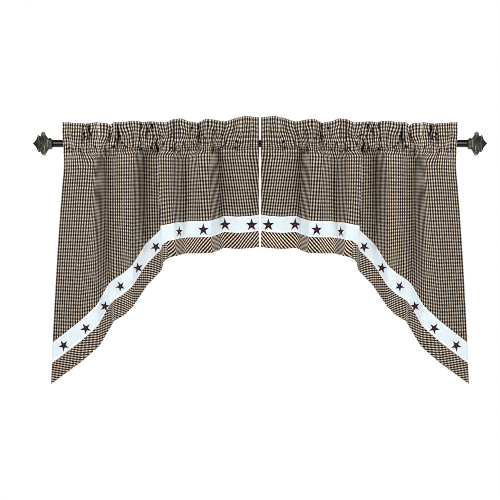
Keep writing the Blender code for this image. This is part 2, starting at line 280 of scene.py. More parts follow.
# Tucks of the gathered heading: short deep folds where the cloth is pinched in.
# across_0, height_0, across_1, height_1: both ends, in mm; width in mm; strength.
TUCKS = (
    (594, 63, 592, 42, 1.9, 0.9),
    (592, 42, 584, 24, 2.2, 1),
    (584, 24, 582, 11, 2.0, 0.9),
    (608, 40, 612, 32, 2.3, 1),
    (607, 25, 612, 19, 2.0, 0.9),
    (600, 19, 589, 7, 2.2, 1),
    (613, 6, 610, -1, 1.9, 0.8),
    (568, -7, 568, -14, 2.4, 1),
    (587, -5, 586, -21, 1.8, 0.8),
    (624, -19, 620, -31, 1.7, 0.8),
    (522, 39, 520, 15, 2.1, 0.95),
    (520, 15, 525, 5, 2.1, 0.95),
    (507, 25, 503, 10, 2.0, 0.9),
    (492, 66, 494, 46, 3.4, 1),
    (494, 46, 487, 34, 2.8, 1),
    (487, 34, 491, 18, 2.6, 1),
    (491, 18, 485, 12, 2.0, 0.9),
    (485, 12, 475, 0, 2.5, 1),
    (511, -9, 505, -11, 3.4, 1),
    (530, -22, 528, -25, 2.0, 0.9),
    (471, -7, 461, -12, 2.2, 0.9),
    (415, 46, 413, 37, 2.0, 1),
    (416, 25, 418, 6, 2.4, 1),
    (427, -8, 424, -15, 1.8, 0.8),
    (411, -16, 429, -28, 2.4, 0.9),
    (411, -16, 408, -31, 1.9, 0.8),
    (375, 68, 372, 40, 2.6, 1),
    (371, 28, 356, 11, 2.7, 1),
    (353, 32, 339, 18, 1.9, 0.95),
    (371, 4, 370, -3, 1.9, 0.9),
    (377, -9, 374, -17, 2.8, 1),
    (356, -7, 352, -17, 2.4, 1),
    (336, 7, 334, -17, 1.8, 0.9),
    (296, 70, 301, 47, 2.3, 1),
    (301, 47, 301, 32, 2.4, 1),
    (303, 20, 297, 11, 2.0, 0.95),
    (297, 11, 290, -5, 2.4, 1),
    (290, -5, 287, -31, 2.4, 1),
    (287, -31, 285, -52, 1.6, 0.7),
    (306, -12, 316, -22, 1.9, 0.9),
    (282, -27, 281, -31, 2.4, 0.9),
    (256, -17, 243, -12, 1.8, 0.8),
    (210, 71, 209, 48, 3.2, 1),
    (209, 48, 212, 26, 3.0, 1),
    (212, 26, 221, 21, 2.2, 1),
    (235, 57, 233, 49, 2.2, 0.9),
    (197, 35, 193, 26, 2.4, 0.9),
    (193, 26, 180, 20, 1.9, 0.8),
    (230, 0, 228, -8, 2.4, 1),
    (199, -18, 194, -27, 2.0, 0.9),
    (174, -22, 169, -25, 2.0, 0.9),
    (159, -17, 159, -48, 2.4, 1),
    (159, -48, 158, -80, 2.2, 0.9),
    (134, 32, 127, 21, 1.9, 0.9),
    (121, 12, 124, -5, 2.7, 1),
    (124, -5, 132, -11, 2.8, 1),
    (79, 9, 79, 2, 1.9, 0.9),
    (73, -5, 71, -9, 2.3, 1),
    (90, -15, 84, -14, 1.8, 0.9),
    (83, -23, 76, -32, 1.7, 0.8),
    (652, -10, 648, -21, 1.5, 0.6),
    (673, -12, 666, -25, 1.5, 0.7),
    (455, 11, 453, 0, 1.7, 0.7),
    (439, -14, 437, -27, 1.7, 0.7),
    (391, 53, 389, 39, 1.7, 0.7),
    (318, 33, 317, 21, 1.7, 0.8),
    (265, 11, 263, -3, 1.7, 0.7),
    (248, 35, 247, 18, 1.9, 0.8),
    (148, 21, 147, 7, 1.6, 0.7),
    (57, -17, 56, -29, 1.5, 0.6),
    (31, -2, 30, -10, 1.5, 0.6),
)
TUCK_DEPTH = 0.0105
TUCK_PULL = 0.55

# Flared square cap of a finial: profile along its corners and along the middle of
# its sides, in mm from the collar outwards and from the axis.
CAP_PROFILE = (
    # corner_out, corner_radius, side_out, side_radius
    (0.0, 19.5, 0.0, 19.5),
    (0.4, 20.6, 0.4, 20.4),
    (1.6, 21.8, 1.6, 20.4),
    (4.0, 25.5, 3.2, 20.6),
    (7.0, 31.5, 5.2, 21.4),
    (11.0, 40.0, 7.8, 23.0),
    (15.0, 49.0, 10.2, 25.4),
    (18.8, 57.4, 12.2, 28.4),
    (19.8, 58.3, 12.8, 29.2),
    (20.9, 57.8, 13.4, 29.1),
    (27.4, 48.8, 15.4, 27.4),
    (28.0, 47.4, 15.9, 26.2),
    (27.9, 41.5, 16.8, 22.6),
    (30.0, 36.0, 20.0, 20.6),
    (32.0, 34.8, 26.0, 21.4),
    (33.4, 35.2, 30.2, 24.6),
    (35.9, 40.4, 31.8, 28.2),
    (36.8, 41.4, 32.8, 29.2),
    (37.6, 41.2, 36.6, 29.2),
    (38.6, 39.8, 38.0, 28.2),
    (46.0, 18.0, 46.0, 12.8),
    (56.6, 2.6, 56.6, 1.9),
    (58.0, 0.9, 58.0, 0.7),
)
COLLAR_PROFILE = (
    # out from the rod's end, radius, in mm
    (0.3, 13.1),
    (0.3, 16.2),
    (1.0, 17.6),
    (3.6, 20.2),
    (5.4, 20.5),
    (6.2, 19.6),
    (6.9, 19.5),
    (7.6, 20.3),
    (9.2, 20.5),
    (9.5, 20.0),
    (9.5, 13.1),
)
CAP_START = 9.8

# Steps round a turned piece and round a cap, and the distances from the axis between
# which the paint goes over to rubbed edges
TURNED_STEPS = 72
CAP_STEPS = 96
COLLAR_RUBBED = (0.0195, 0.0205)
CAP_RUBBED = (0.030, 0.060)

# Picture frame, in metres at the rod: the width it covers and its centre
VIEW_WIDTH = 1.7385
VIEW_CENTRE = (-0.0348, -0.3700)
CAMERA_DISTANCE = 10.0


# ---------------------------------------------------------------- small helpers


def smooth_step(value):
    """Ease from 0 to 1 as the value goes from 0 to 1: 3t squared less 2t cubed."""
    t = np.clip(value, 0.0, 1.0)
    return t * t * (3.0 - 2.0 * t)


def ease(value, start, over):
    """The same as the value goes from start to start plus over."""
    return smooth_step((value - start) / over)


def bell(off, reach):
    """Bell curve: 1 in the middle, e to the minus square of the distance over reach."""
    return np.exp(-((off / reach) ** 2))


def from_table(u, at, by):
    """A value that is straight between the entries of a table in mm."""
    return np.interp(u, np.array(at) * MM, np.array(by) * MM)


def soft_noise(a, b, size_a, size_b, seed):
    """Smooth noise from -1 to 1: random values on a lattice of size_a by size_b,
    blended between the four nearest ones with the easing curve."""
    table = np.random.default_rng(seed).uniform(-1.0, 1.0, (97, 89))
    x = np.asarray(a) / size_a + 500.0
    y = np.asarray(b) / size_b + 500.0
    i = np.floor(x).astype(int)
    j = np.floor(y).astype(int)
    s = smooth_step(x - i)
    t = smooth_step(y - j)
    low = table[i % 97, j % 89] * (1 - s) + table[(i + 1) % 97, j % 89] * s
    high = table[i % 97, (j + 1) % 89] * (1 - s) + table[(i + 1) % 97, (j + 1) % 89] * s
    return low * (1 - t) + high * t


# ---------------------------------------------------------------- the cloth's form


class Drape:
    """The left panel's hanging surface, as functions of the flat cloth.

    u runs across the flat cloth from its outer edge and v up it: the height of the
    hanging part, then on over the pocket's front, the heading and down the back.
    """

    def __init__(self):
        folds = np.array(FOLD_LINES, dtype=float) * MM
        self.folds = folds
        self.fold_u = np.array(FOLDS_AT) * MM
        self.width = float(self.fold_u[-1])
        self.slid_at_seam = np.array(SLID_AT_SEAM) * MM
        self.slid_at_hem = np.array(SLID_AT_HEM) * MM
        self.edges = np.array(EDGE_HEIGHTS, dtype=float)[::-1] * MM
        self.trace_creases()

    def trace_creases(self):
        """Run of the gathered heading: a curve of even speed whose turning angle
        dives at each crease and comes back, and bulges a little between creases."""
        creases = np.array(CREASES, dtype=float)
        depth = creases[:, 1] * MM
        lean = np.radians(creases[:, 2])
        inward = CREASE_ANGLE - lean
        outward = CREASE_ANGLE + lean
        take = (1 - np.cos(inward)) / np.sin(inward) + (1 - np.cos(outward)) / np.sin(outward)
        take = depth * take
        scale = (self.width - (OUTER_EDGE - INNER_EDGE)) / take.sum()
        depth = depth * scale
        take = take * scale
        first = depth / np.sin(inward)
        last = depth / np.sin(outward)
        floor = creases[:, 6] * MM / 2.0
        foot = OUTER_EDGE - creases[:, 0] * MM + np.cumsum(take) - take
        middle = foot - first * np.cos(inward) + first
        first, last = first + floor, last + floor
        u = np.linspace(0.0, self.width, RUN_SAMPLES)
        angle = np.zeros_like(u)
        bounds = np.concatenate([[0.0], middle, [self.width]])
        zone = np.clip(np.searchsorted(bounds, u) - 1, 0, len(bounds) - 2)
        share = (u - bounds[zone]) / (bounds[zone + 1] - bounds[zone])
        angle += ZONE_BULGE * (1.0 - 2.0 * share)
        shapes = zip(middle, first, last, floor, inward, outward)
        for centre, before, after, half, dive, rise in shapes:
            angle = np.where((u > centre - before) & (u <= centre - half), -dive, angle)
            angle = np.where((u > centre - half) & (u < centre + half), 0.0, angle)
            angle = np.where((u >= centre + half) & (u <= centre + after), rise, angle)
        step = u[1] - u[0]
        half = int(CREASE_ROUNDING / step)
        window = np.hanning(2 * half + 3)
        angle = np.pad(angle, half + 1, mode="edge")
        angle = np.convolve(angle, window / window.sum(), mode="valid")
        run = np.concatenate([[0.0], np.cumsum(np.cos(angle[:-1]) * step)])
        self.run_u = u
        self.run_across = OUTER_EDGE - run * (OUTER_EDGE - INNER_EDGE) / run[-1]
        self.run_deep = np.concatenate([[0.0], np.cumsum(np.sin(angle[:-1]) * step)])
        self.crease_u = middle
        self.crease_top = creases[:, 3]
        self.crease_seam = creases[:, 4]
        self.crease_shift = creases[:, 5] * MM

    def gather_across(self, u, rise=0.0):
        """Distance out from the middle of the pair, in the heading and pocket; rise
        is 0 at the seam and 1 at the upper edge."""
        shift = np.interp(u, self.crease_u, self.crease_shift)
        ends = smooth_step(u / CALM_EDGE) * smooth_step((self.width - u) / CALM_EDGE)
        across = np.interp(u, self.run_u, self.run_across) + shift * ends * (rise - 0.5)
        fold = SEAM_FOLLOWS_FOLDS * smooth_step(1.0 - 1.25 * rise)
        return across + fold * (self.folded(u, 0) - across)

    def gather_deep(self, u, rise=0.0):
        """Depth of the gathers towards the viewer; at the seam they follow the folds
        below in part."""
        fold = SEAM_DEPTH_OF_FOLDS * smooth_step(1.0 - 2.0 * rise) * self.folded(u, 3)
        return fold + self.crease_deep(u, rise)

    def crease_deep(self, u, rise):
        """Depth of the creases alone, as deep at each height as their table says, and
        half of that at the heading's edge."""
        top = np.interp(u, self.crease_u, self.crease_top)
        seam = np.interp(u, self.crease_u, self.crease_seam)
        share = (seam + (top - seam) * rise) * (1.0 - 0.5 * ease(rise, *CREASES_EASE))
        return np.interp(u, self.run_u, self.run_deep) * share

    def edge_height(self, u, column):
        """Height of the heading's edge (1) or of the pocket's seam (2)."""
        across = np.interp(u, self.run_u, self.run_across)
        return np.interp(across, self.edges[:, 0], self.edges[:, column])

    def folded(self, u, column, lap=1.0):
        """One column of the fold lines at u: straight between the fold lines, with
        every corner rounded by averaging over a short stretch, shortest at the lap."""
        table_u, values = self.fold_u, self.folds[:, column]
        rounding = FOLD_ROUNDING * (1.0 - LAP_SHARPER * lap * bell(u - LAP_AT, LAP_REACH))
        reach = 2.0 * FOLD_ROUNDING
        first = values[0] - (values[1] - values[0]) / (table_u[1] - table_u[0]) * reach
        last = values[-1] + (values[-1] - values[-2]) / (table_u[-1] - table_u[-2]) * reach
        long_u = np.concatenate([[-reach], table_u, [table_u[-1] + reach]])
        long_values = np.concatenate([[first], values, [last]])
        taps = np.linspace(-1.0, 1.0, 13)[1:-1]
        weights = 1.0 - taps * taps
        near = [np.interp(u + tap * rounding, long_u, long_values) for tap in taps]
        return sum(weight * value for weight, value in zip(weights, near)) / weights.sum()

    def line_level(self, u, line):
        """Height of a line of the border on the flat cloth: 0 the band's top, 1 its
        foot, 2 the hem; level at the inner side and slanting at the outer one."""
        corner = MITRE_ACROSS_CLOTH + line * BAND_WIDTH * MITRE_LEAN
        at = self.hem_place(u)
        return LEVEL_BAND_TOP - line * BAND_WIDTH - SLANT_SLOPE * np.clip(corner - at, 0.0, None)

    def hem_place(self, u):
        """Place among the folds at the hem of a thread at u: the folds have slid."""
        return u + np.interp(u, self.slid_at_hem[:, 0], self.slid_at_hem[:, 1])

    def thread_at(self, place):
        """The thread that lies at a place among the folds at the hem."""
        threads = self.slid_at_hem[:, 0]
        return np.interp(place, self.hem_place(threads), threads)

    def body(self, u, v):
        """Hanging cloth: each thread follows a curve through its places at the seam,
        half way and at the hem, and the gathers melt into the folds below the seam."""
        hem = self.line_level(u, 2)
        share = np.clip((v - SEAM_LEVEL) / (hem - SEAM_LEVEL), 0.0, 1.0)
        reach = OPEN_LENGTH * (1.0 + OPEN_VARIES * soft_noise(u, 0.0 * u, 0.034, 1.0, 5))
        reach = reach + OUTER_OPEN_LENGTH * (1.0 - smooth_step(u / 0.15))
        opened = smooth_step((SEAM_LEVEL - v) / reach)
        lap = 1.0 - 0.9 * ease(share, *LAP_OPENS)
        slid = np.clip(share / SLID_BY, 0.0, 1.0)
        at = u + (1.0 - slid) * np.interp(u, self.slid_at_seam[:, 0], self.slid_at_seam[:, 1])
        at = at + slid * (self.hem_place(u) - u)
        across = 2.0 * (share - 0.5) * (share - 1.0) * self.folded(at, 0, lap)
        across = across + 4.0 * share * (1.0 - share) * self.folded(at, 1, lap)
        across = across + 2.0 * share * (share - 0.5) * self.folded(at, 2, lap)
        deep_top, deep_low = self.folded(at, 3, lap), self.folded(at, 4, lap)
        deep = deep_top + share * (deep_low - deep_top)
        deep = deep * (1.0 - FLATTER_AT_FOOT * ease(share, *FLATTENS))
        deep = deep + from_table(u, EASED_AT, EASED_BY)
        across = self.gather_across(u) + opened * (across - self.gather_across(u))
        deep = self.gather_deep(u) + opened * (deep - self.gather_deep(u))
        # The rise at the seam goes over to the hem's, lower down at the inner side
        rise_top = self.edge_height(u, 2) - SEAM_LEVEL
        inner = ease(u, 0.45, 0.20)
        lifted = smooth_step((share - 0.12 - 0.13 * inner) / (0.68 - 0.23 * inner))
        rise = rise_top + lifted * (self.folded(at, 5) - rise_top)
        low = np.clip((self.line_level(u, 1) - v) / BAND_WIDTH, 0.0, 1.0)
        rise = rise + low * from_table(u, HEM_LIFT_AT, HEM_LIFT_BY)
        # Above the mitre the cloth sags, most half way down
        corner = MITRE_ACROSS_CLOTH + (LEVEL_BAND_TOP - v) * MITRE_LEAN
        sag = smooth_step(share / 0.6) * (1.0 - 0.6 * ease(share, 0.65, 0.35))
        drop = MITRE_SAG * bell(u - corner, MITRE_SAG_REACH) * sag
        return across, -LAYER_HALF_GAP - deep, v + rise - drop

    def rising(self, height):
        """Share of the way from the seam up to the heading's edge."""
        return np.clip((height - SEAM_LEVEL) / (MEAN_TOP - SEAM_LEVEL), 0.0, 1.0)

    def stitch_height(self, u):
        """Height of the upper stitches, which follow the heading's edge in part."""
        return STITCH_RISE + STITCHES_FOLLOW_TOP * (self.edge_height(u, 1) - MEAN_TOP)

    def pocket(self, u, angle, side):
        """Pocket round the rod, from the upper stitches (angle 0) to the seam (pi): it
        stands off by one less a power of the height. Creases reach in to the rod."""
        upper = angle < math.pi / 2
        height = np.where(upper, self.stitch_height(u), -self.edge_height(u, 2)) * np.cos(angle)
        rise = self.rising(height)
        deep = self.gather_deep(u, rise)
        crest = 1.0 + np.clip(-side * deep / CREASE_REACH, -1.0, 0.7)
        at_rod = side * (ROD_RADIUS + ROD_CLEARANCE + CREST_AT_ROD * crest)
        at_stitch = side * LAYER_HALF_GAP - deep
        off = 1.0 - np.abs(np.cos(angle)) ** np.where(upper, POWER_OVER, POWER_UNDER)
        return self.gather_across(u, rise), at_stitch + off * (at_rod - at_stitch), height

    def heading(self, u, share, side):
        """Standing ruffle: both layers wave together and meet in a narrow turn at the
        upper edge, which leans and curls a little more than the foot."""
        edge = self.edge_height(u, 1)
        low = self.stitch_height(u)
        height = low + share * (edge - low)
        rise = self.rising(height)
        turn = np.clip((share - EDGE_TURNS[0]) / EDGE_TURNS[1], 0.0, 1.0)
        half = LAYER_HALF_GAP * np.sqrt(1.0 - turn * turn)
        curl = HEADING_CURL * share * soft_noise(u, 0.0 * u, 0.045, 1.0, 9)
        return self.gather_across(u, rise), side * half - self.gather_deep(u, rise) - curl, height

    def tucks(self, across, height):
        """Short folds pinched into the gathers: each falls off with the distance from
        its line as a bell curve, and draws the cloth beside it towards the line.
        Gives the share of the depth, and the pull across and upwards."""
        share = np.zeros_like(across)
        pull_across = np.zeros_like(across)
        pull_height = np.zeros_like(across)
        place = across + TUCK_WANDER * soft_noise(across, height, 0.009, 0.007, 21)
        for a0, h0, a1, h1, width, strength in np.array(TUCKS) * (MM, MM, MM, MM, MM, 1.0):
            run = np.array([a1 - a0, h1 - h0])
            along = ((place - a0) * run[0] + (height - h0) * run[1]) / (run @ run)
            along = np.clip(along, 0.0, 1.0)
            off_across = place - a0 - along * run[0]
            off_height = height - h0 - along * run[1]
            away = (off_across**2 + off_height**2) / width**2
            share = np.maximum(share, strength * np.exp(-away))
            near = strength * TUCK_PULL * np.exp(-0.4 * away)
            pull_across -= near * off_across
            pull_height -= 0.5 * near * off_height
        return share, pull_across, pull_height

    def ripples(self, u, v, across, height):
        """Crumpling of the gathered zone, the same on both layers: threads swing
        sideways and up and down, and sharp little creases run out of the seam."""
        m = np.where(v > TOP_V, 2.0 * TOP_V - v, v)
        near = smooth_step((m - SEAM_LEVEL + CRUMPLED_BELOW) / CRUMPLED_BELOW)
        low = bell(m - SEAM_LEVEL - STRONGEST[0], STRONGEST[1])
        free = 1.0 - 0.6 * smooth_step((m - STITCH_V) / HEADING_DROP)
        ends = smooth_step(0.25 + u / 0.07) * smooth_step(0.1 + (self.width - u) / 0.10)
        sway, lift = (
            sum((high + more * low) * soft_noise(u, m, *size) for high, more, *size in waves)
            for waves in (SWAY_WAVES, LIFT_WAVES)
        )
        crease = np.abs(soft_noise(u + 0.35 * m, m, 0.019, 0.046, 15)) - 0.36
        crease = crease + 0.5 * (np.abs(soft_noise(u - 0.4 * m, m, 0.013, 0.028, 16)) - 0.36)
        swell = 0.0034 * soft_noise(u, m, 0.028, 0.052, 17)
        swell = swell + (0.0020 + 0.0060 * low) * crease
        tuck, pull_across, pull_height = self.tucks(across, height)
        sway = near * ends * (sway + pull_across)
        shallow = 1.0 - 0.65 * smooth_step((m - STITCH_V - 0.008) / (HEADING_DROP - 0.008))
        swell = near * (swell - TUCK_DEPTH * shallow * tuck)
        return sway, swell, near * (free * lift + pull_height), near * tuck

    def draped(self, u, v):
        """The cloth without its crumpling: hanging part, pocket, heading and back."""
        front_angle = np.arccos(1.0 - 2.0 * np.clip((STITCH_V - v) / POCKET_ARC, 0.0, 1.0))
        back_angle = np.arccos(1.0 - 2.0 * np.clip((v - BACK_STITCH_V) / POCKET_ARC, 0.0, 1.0))
        front_share = np.clip((v - STITCH_V) / HEADING_DROP, 0.0, 1.0)
        back_share = np.clip((BACK_STITCH_V - v) / HEADING_DROP, 0.0, 1.0)
        zones = [v <= end for end in (SEAM_LEVEL, STITCH_V, TOP_V, BACK_STITCH_V, np.inf)]
        parts = [
            self.body(u, np.minimum(v, SEAM_LEVEL)),
            self.pocket(u, front_angle, -1.0),
            self.heading(u, front_share, -1.0),
            self.heading(u, back_share, 1.0),
            self.pocket(u, back_angle, 1.0),
        ]
        return (np.select(zones, [part[k] for part in parts]) for k in range(3))

    def surface(self, u, v):
        """Any point of the cloth. Nothing comes nearer to the rod than the cloth's own
        clearance."""
        u, v = np.broadcast_arrays(np.asarray(u, float), np.asarray(v, float))
        across, deep, height = self.draped(u, v)
        if v.max() > SEAM_LEVEL - 0.035:
            sway, swell, lift, _ = self.ripples(u, v, across, height)
            across = across + sway
            deep = deep - swell
            height = height + lift
        height = height - np.clip(v - BACK_SEAM_V, 0.0, None)
        off_axis = np.hypot(deep, height)
        push = np.maximum(1.0, (ROD_RADIUS + CLEAR_OF_ROD) / np.maximum(off_axis, 1e-6))
        return np.stack([-across, deep * push, height * push], axis=-1)

    def crease_shade(self, u, v):
        """Painted shade for the tucks and creases of the gathers, from 0 to 1: how deep a place
        lies in them, on the front layer only, fading out at the upper edge.
        """
        across, _, height = self.draped(u, v)
        tuck = self.ripples(u, v, across, height)[3]
        rise = self.rising(height)
        crease = smooth_step((-self.crease_deep(u, rise) - 0.003) / 0.009)
        near = smooth_step((v - SEAM_LEVEL + 0.012) / 0.012)
        front = smooth_step((TOP_V - 0.003 - v) / 0.008)
        return front * np.maximum(tuck, near * crease)

    def relief(self, u, v):
        """Small forms that stand on the folds: soft wrinkles, more of them near the
        seam, puckers that the stitches draw up, and the groove each seam lies in."""
        below = np.clip(SEAM_LEVEL - v, 0.0, None)
        gathered = np.exp(-below / 0.050)
        height = 0.0006 * soft_noise(u, v + 0.35 * u, 0.040, 0.150, 1)
        height = height + 0.0010 * gathered * soft_noise(u, v, 0.012, 0.050, 2)
        for seam in (SEAM_LEVEL, STITCH_V, BACK_STITCH_V, BACK_SEAM_V):
            away = np.abs(v - seam)
            broken = 0.6 + 0.6 * soft_noise(u, v, 0.017, 0.060, 22)
            height = height - 0.0007 * broken * bell(away, 0.0024)
            height = height + 0.0009 * np.exp(-away / 0.008) * soft_noise(u, v, 0.0052, 0.060, 4)
        for line in (0, 1):
            away = np.abs(v - self.line_level(u, line)) * math.cos(SLANT_ANGLE)
            pucker = soft_noise(u, v, 0.0070, 0.050, 6 + line)
            height = height + 0.0006 * np.exp(-away / 0.007) * pucker
        return height

    def point(self, u, v, lift=0.0):
        """Point on the cloth, moved off it along the surface's own normal by its
        relief and by lift."""
        here = self.surface(u, v)
        du = self.surface(u + SLOPE_STEP, v) - self.surface(u - SLOPE_STEP, v)
        dv = self.surface(u, v - SLOPE_STEP) - self.surface(u, v + SLOPE_STEP)
        normal = np.cross(dv, du)
        size = np.linalg.norm(normal, axis=-1, keepdims=True)
        normal = normal / np.maximum(size, 1e-12)
        return here + normal * (self.relief(u, v) + lift)[..., None]


# ---------------------------------------------------------------- meshes

# Points nearer to each other than this are one, in metres
SAME_POINT = 1e-6


def link(piece):
    """Put a finished piece in the scene and on its body."""
    bpy.context.scene.collection.objects.link(piece)
    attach(piece, "root")


def grid_faces(rows, columns, wrap=False):
    """Quads of a grid of rows by columns, seen from the side its normal points to."""
    index = np.arange(rows * columns).reshape(rows, columns)
    if wrap:
        index = np.concatenate([index, index[:, :1]], axis=1)
    a, b = index[:-1, :-1], index[:-1, 1:]
    c, d = index[1:, 1:], index[1:, :-1]
    return np.stack([a, d, c, b], axis=-1).reshape(-1, 4)


def mirrored(points, quads, side):
    """Points and quads as they are for the left panel, mirrored for the right one."""
    if side == "left":
        return points, quads
    return points * np.array([-1.0, 1.0, 1.0]), quads[:, ::-1]


def fill_mesh(name, points, quads, uv=None):
    """Make a mesh from whole arrays of points and quads, with a map in metres."""
    mesh = bpy.data.meshes.new(name)
    mesh.vertices.add(len(points))
    mesh.vertices.foreach_set("co", np.asarray(points, dtype=np.float32).ravel())
    mesh.loops.add(quads.size)
    mesh.loops.foreach_set("vertex_index", quads.astype(np.int32).ravel())
    mesh.polygons.add(len(quads))
    mesh.polygons.foreach_set("loop_start", np.arange(0, quads.size, 4, dtype=np.int32))
    if uv is not None:
        layer = mesh.uv_layers.new(name="flat_cloth")
        layer.uv.foreach_set("vector", uv[quads.ravel()].astype(np.float32).ravel())
    mesh.update(calc_edges=True)
    mesh.validate()
    mesh.shade_smooth()
    return mesh


def close_poles(mesh, outwards=True):
    """Merge the points that meet at a pole, and turn the faces outwards."""
    work = bmesh.new()
    work.from_mesh(mesh)
    bmesh.ops.remove_doubles(work, verts=work.verts, dist=SAME_POINT)
    if outwards:
        bmesh.ops.recalc_face_normals(work, faces=work.faces)
    work.to_mesh(mesh)
    work.free()
    mesh.shade_smooth()


def mark(mesh, name, values):
    """Store a number for each point of a mesh, for its material to read."""
    values = np.asarray(values, dtype=np.float32).ravel()
    mesh.attributes.new(name, "FLOAT", "POINT").data.foreach_set("value", values)


def as_piece(name, mesh, material):
    """Object for a finished mesh, in one material."""
    mesh.materials.append(material)
    return bpy.data.objects.new(name, mesh)


def cloth_sheet(name, points, uv, side, material, thickness):
    """Turn a grid of points into a sheet with a wall, mirrored for the right panel."""
    quads = grid_faces(*points.shape[:2])
    points, quads = mirrored(points.reshape(-1, 3), quads, side)
    piece = as_piece(name, fill_mesh(name, points, quads, uv.reshape(-1, 2)), material)
    wall = piece.modifiers.new("thickness", "SOLIDIFY")
    wall.thickness = thickness
    wall.offset = 0.0
    wall.use_even_offset = False
    return piece


def turned(axis_out, radius, steps):
    """Points of a turned form along X: each profile point carried round a circle."""
    angle = np.arange(steps) * 2.0 * math.pi / steps
    y = radius[:, None] * np.cos(angle)
    z = radius[:, None] * np.sin(angle)
    x = np.repeat(axis_out[:, None], steps, axis=1)
    return np.stack([x, y, z], axis=-1)


def closed_loft(name, rings, material, sharp=35.0):
    """Mesh through a stack of rings, both ends closed to a point at their middle."""
    rows, steps = rings.shape[:2]
    first = np.repeat(rings[:1].mean(axis=1, keepdims=True), steps, axis=1)
    last = np.repeat(rings[-1:].mean(axis=1, keepdims=True), steps, axis=1)
    grid = np.concatenate([first, rings, last])
    mesh = bpy.data.meshes.new(name)
    quads = grid_faces(rows + 2, steps, wrap=True)
    mesh.from_pydata(grid.reshape(-1, 3).tolist(), [], quads.tolist())
    close_poles(mesh)
    mesh.set_sharp_from_angle(angle=math.radians(sharp))
    return as_piece(name, mesh, material)


# ---------------------------------------------------------------- materials

# Height of the relief that the shading shows, in metres: a fine one and a coarser one
FINE_RELIEF = 0.00010
COARSE_RELIEF = 0.00012
# How far a yarn strays from its line, in metres
YARN_DRIFT = 0.0012
# The hanging cloth's look goes over to that of the gathers between these heights
GATHERS_BEGIN = (-0.10, -0.03)


def tinted(colour, share):
    """A colour with all its channels made darker or lighter."""
    return tuple(channel * share for channel in colour)


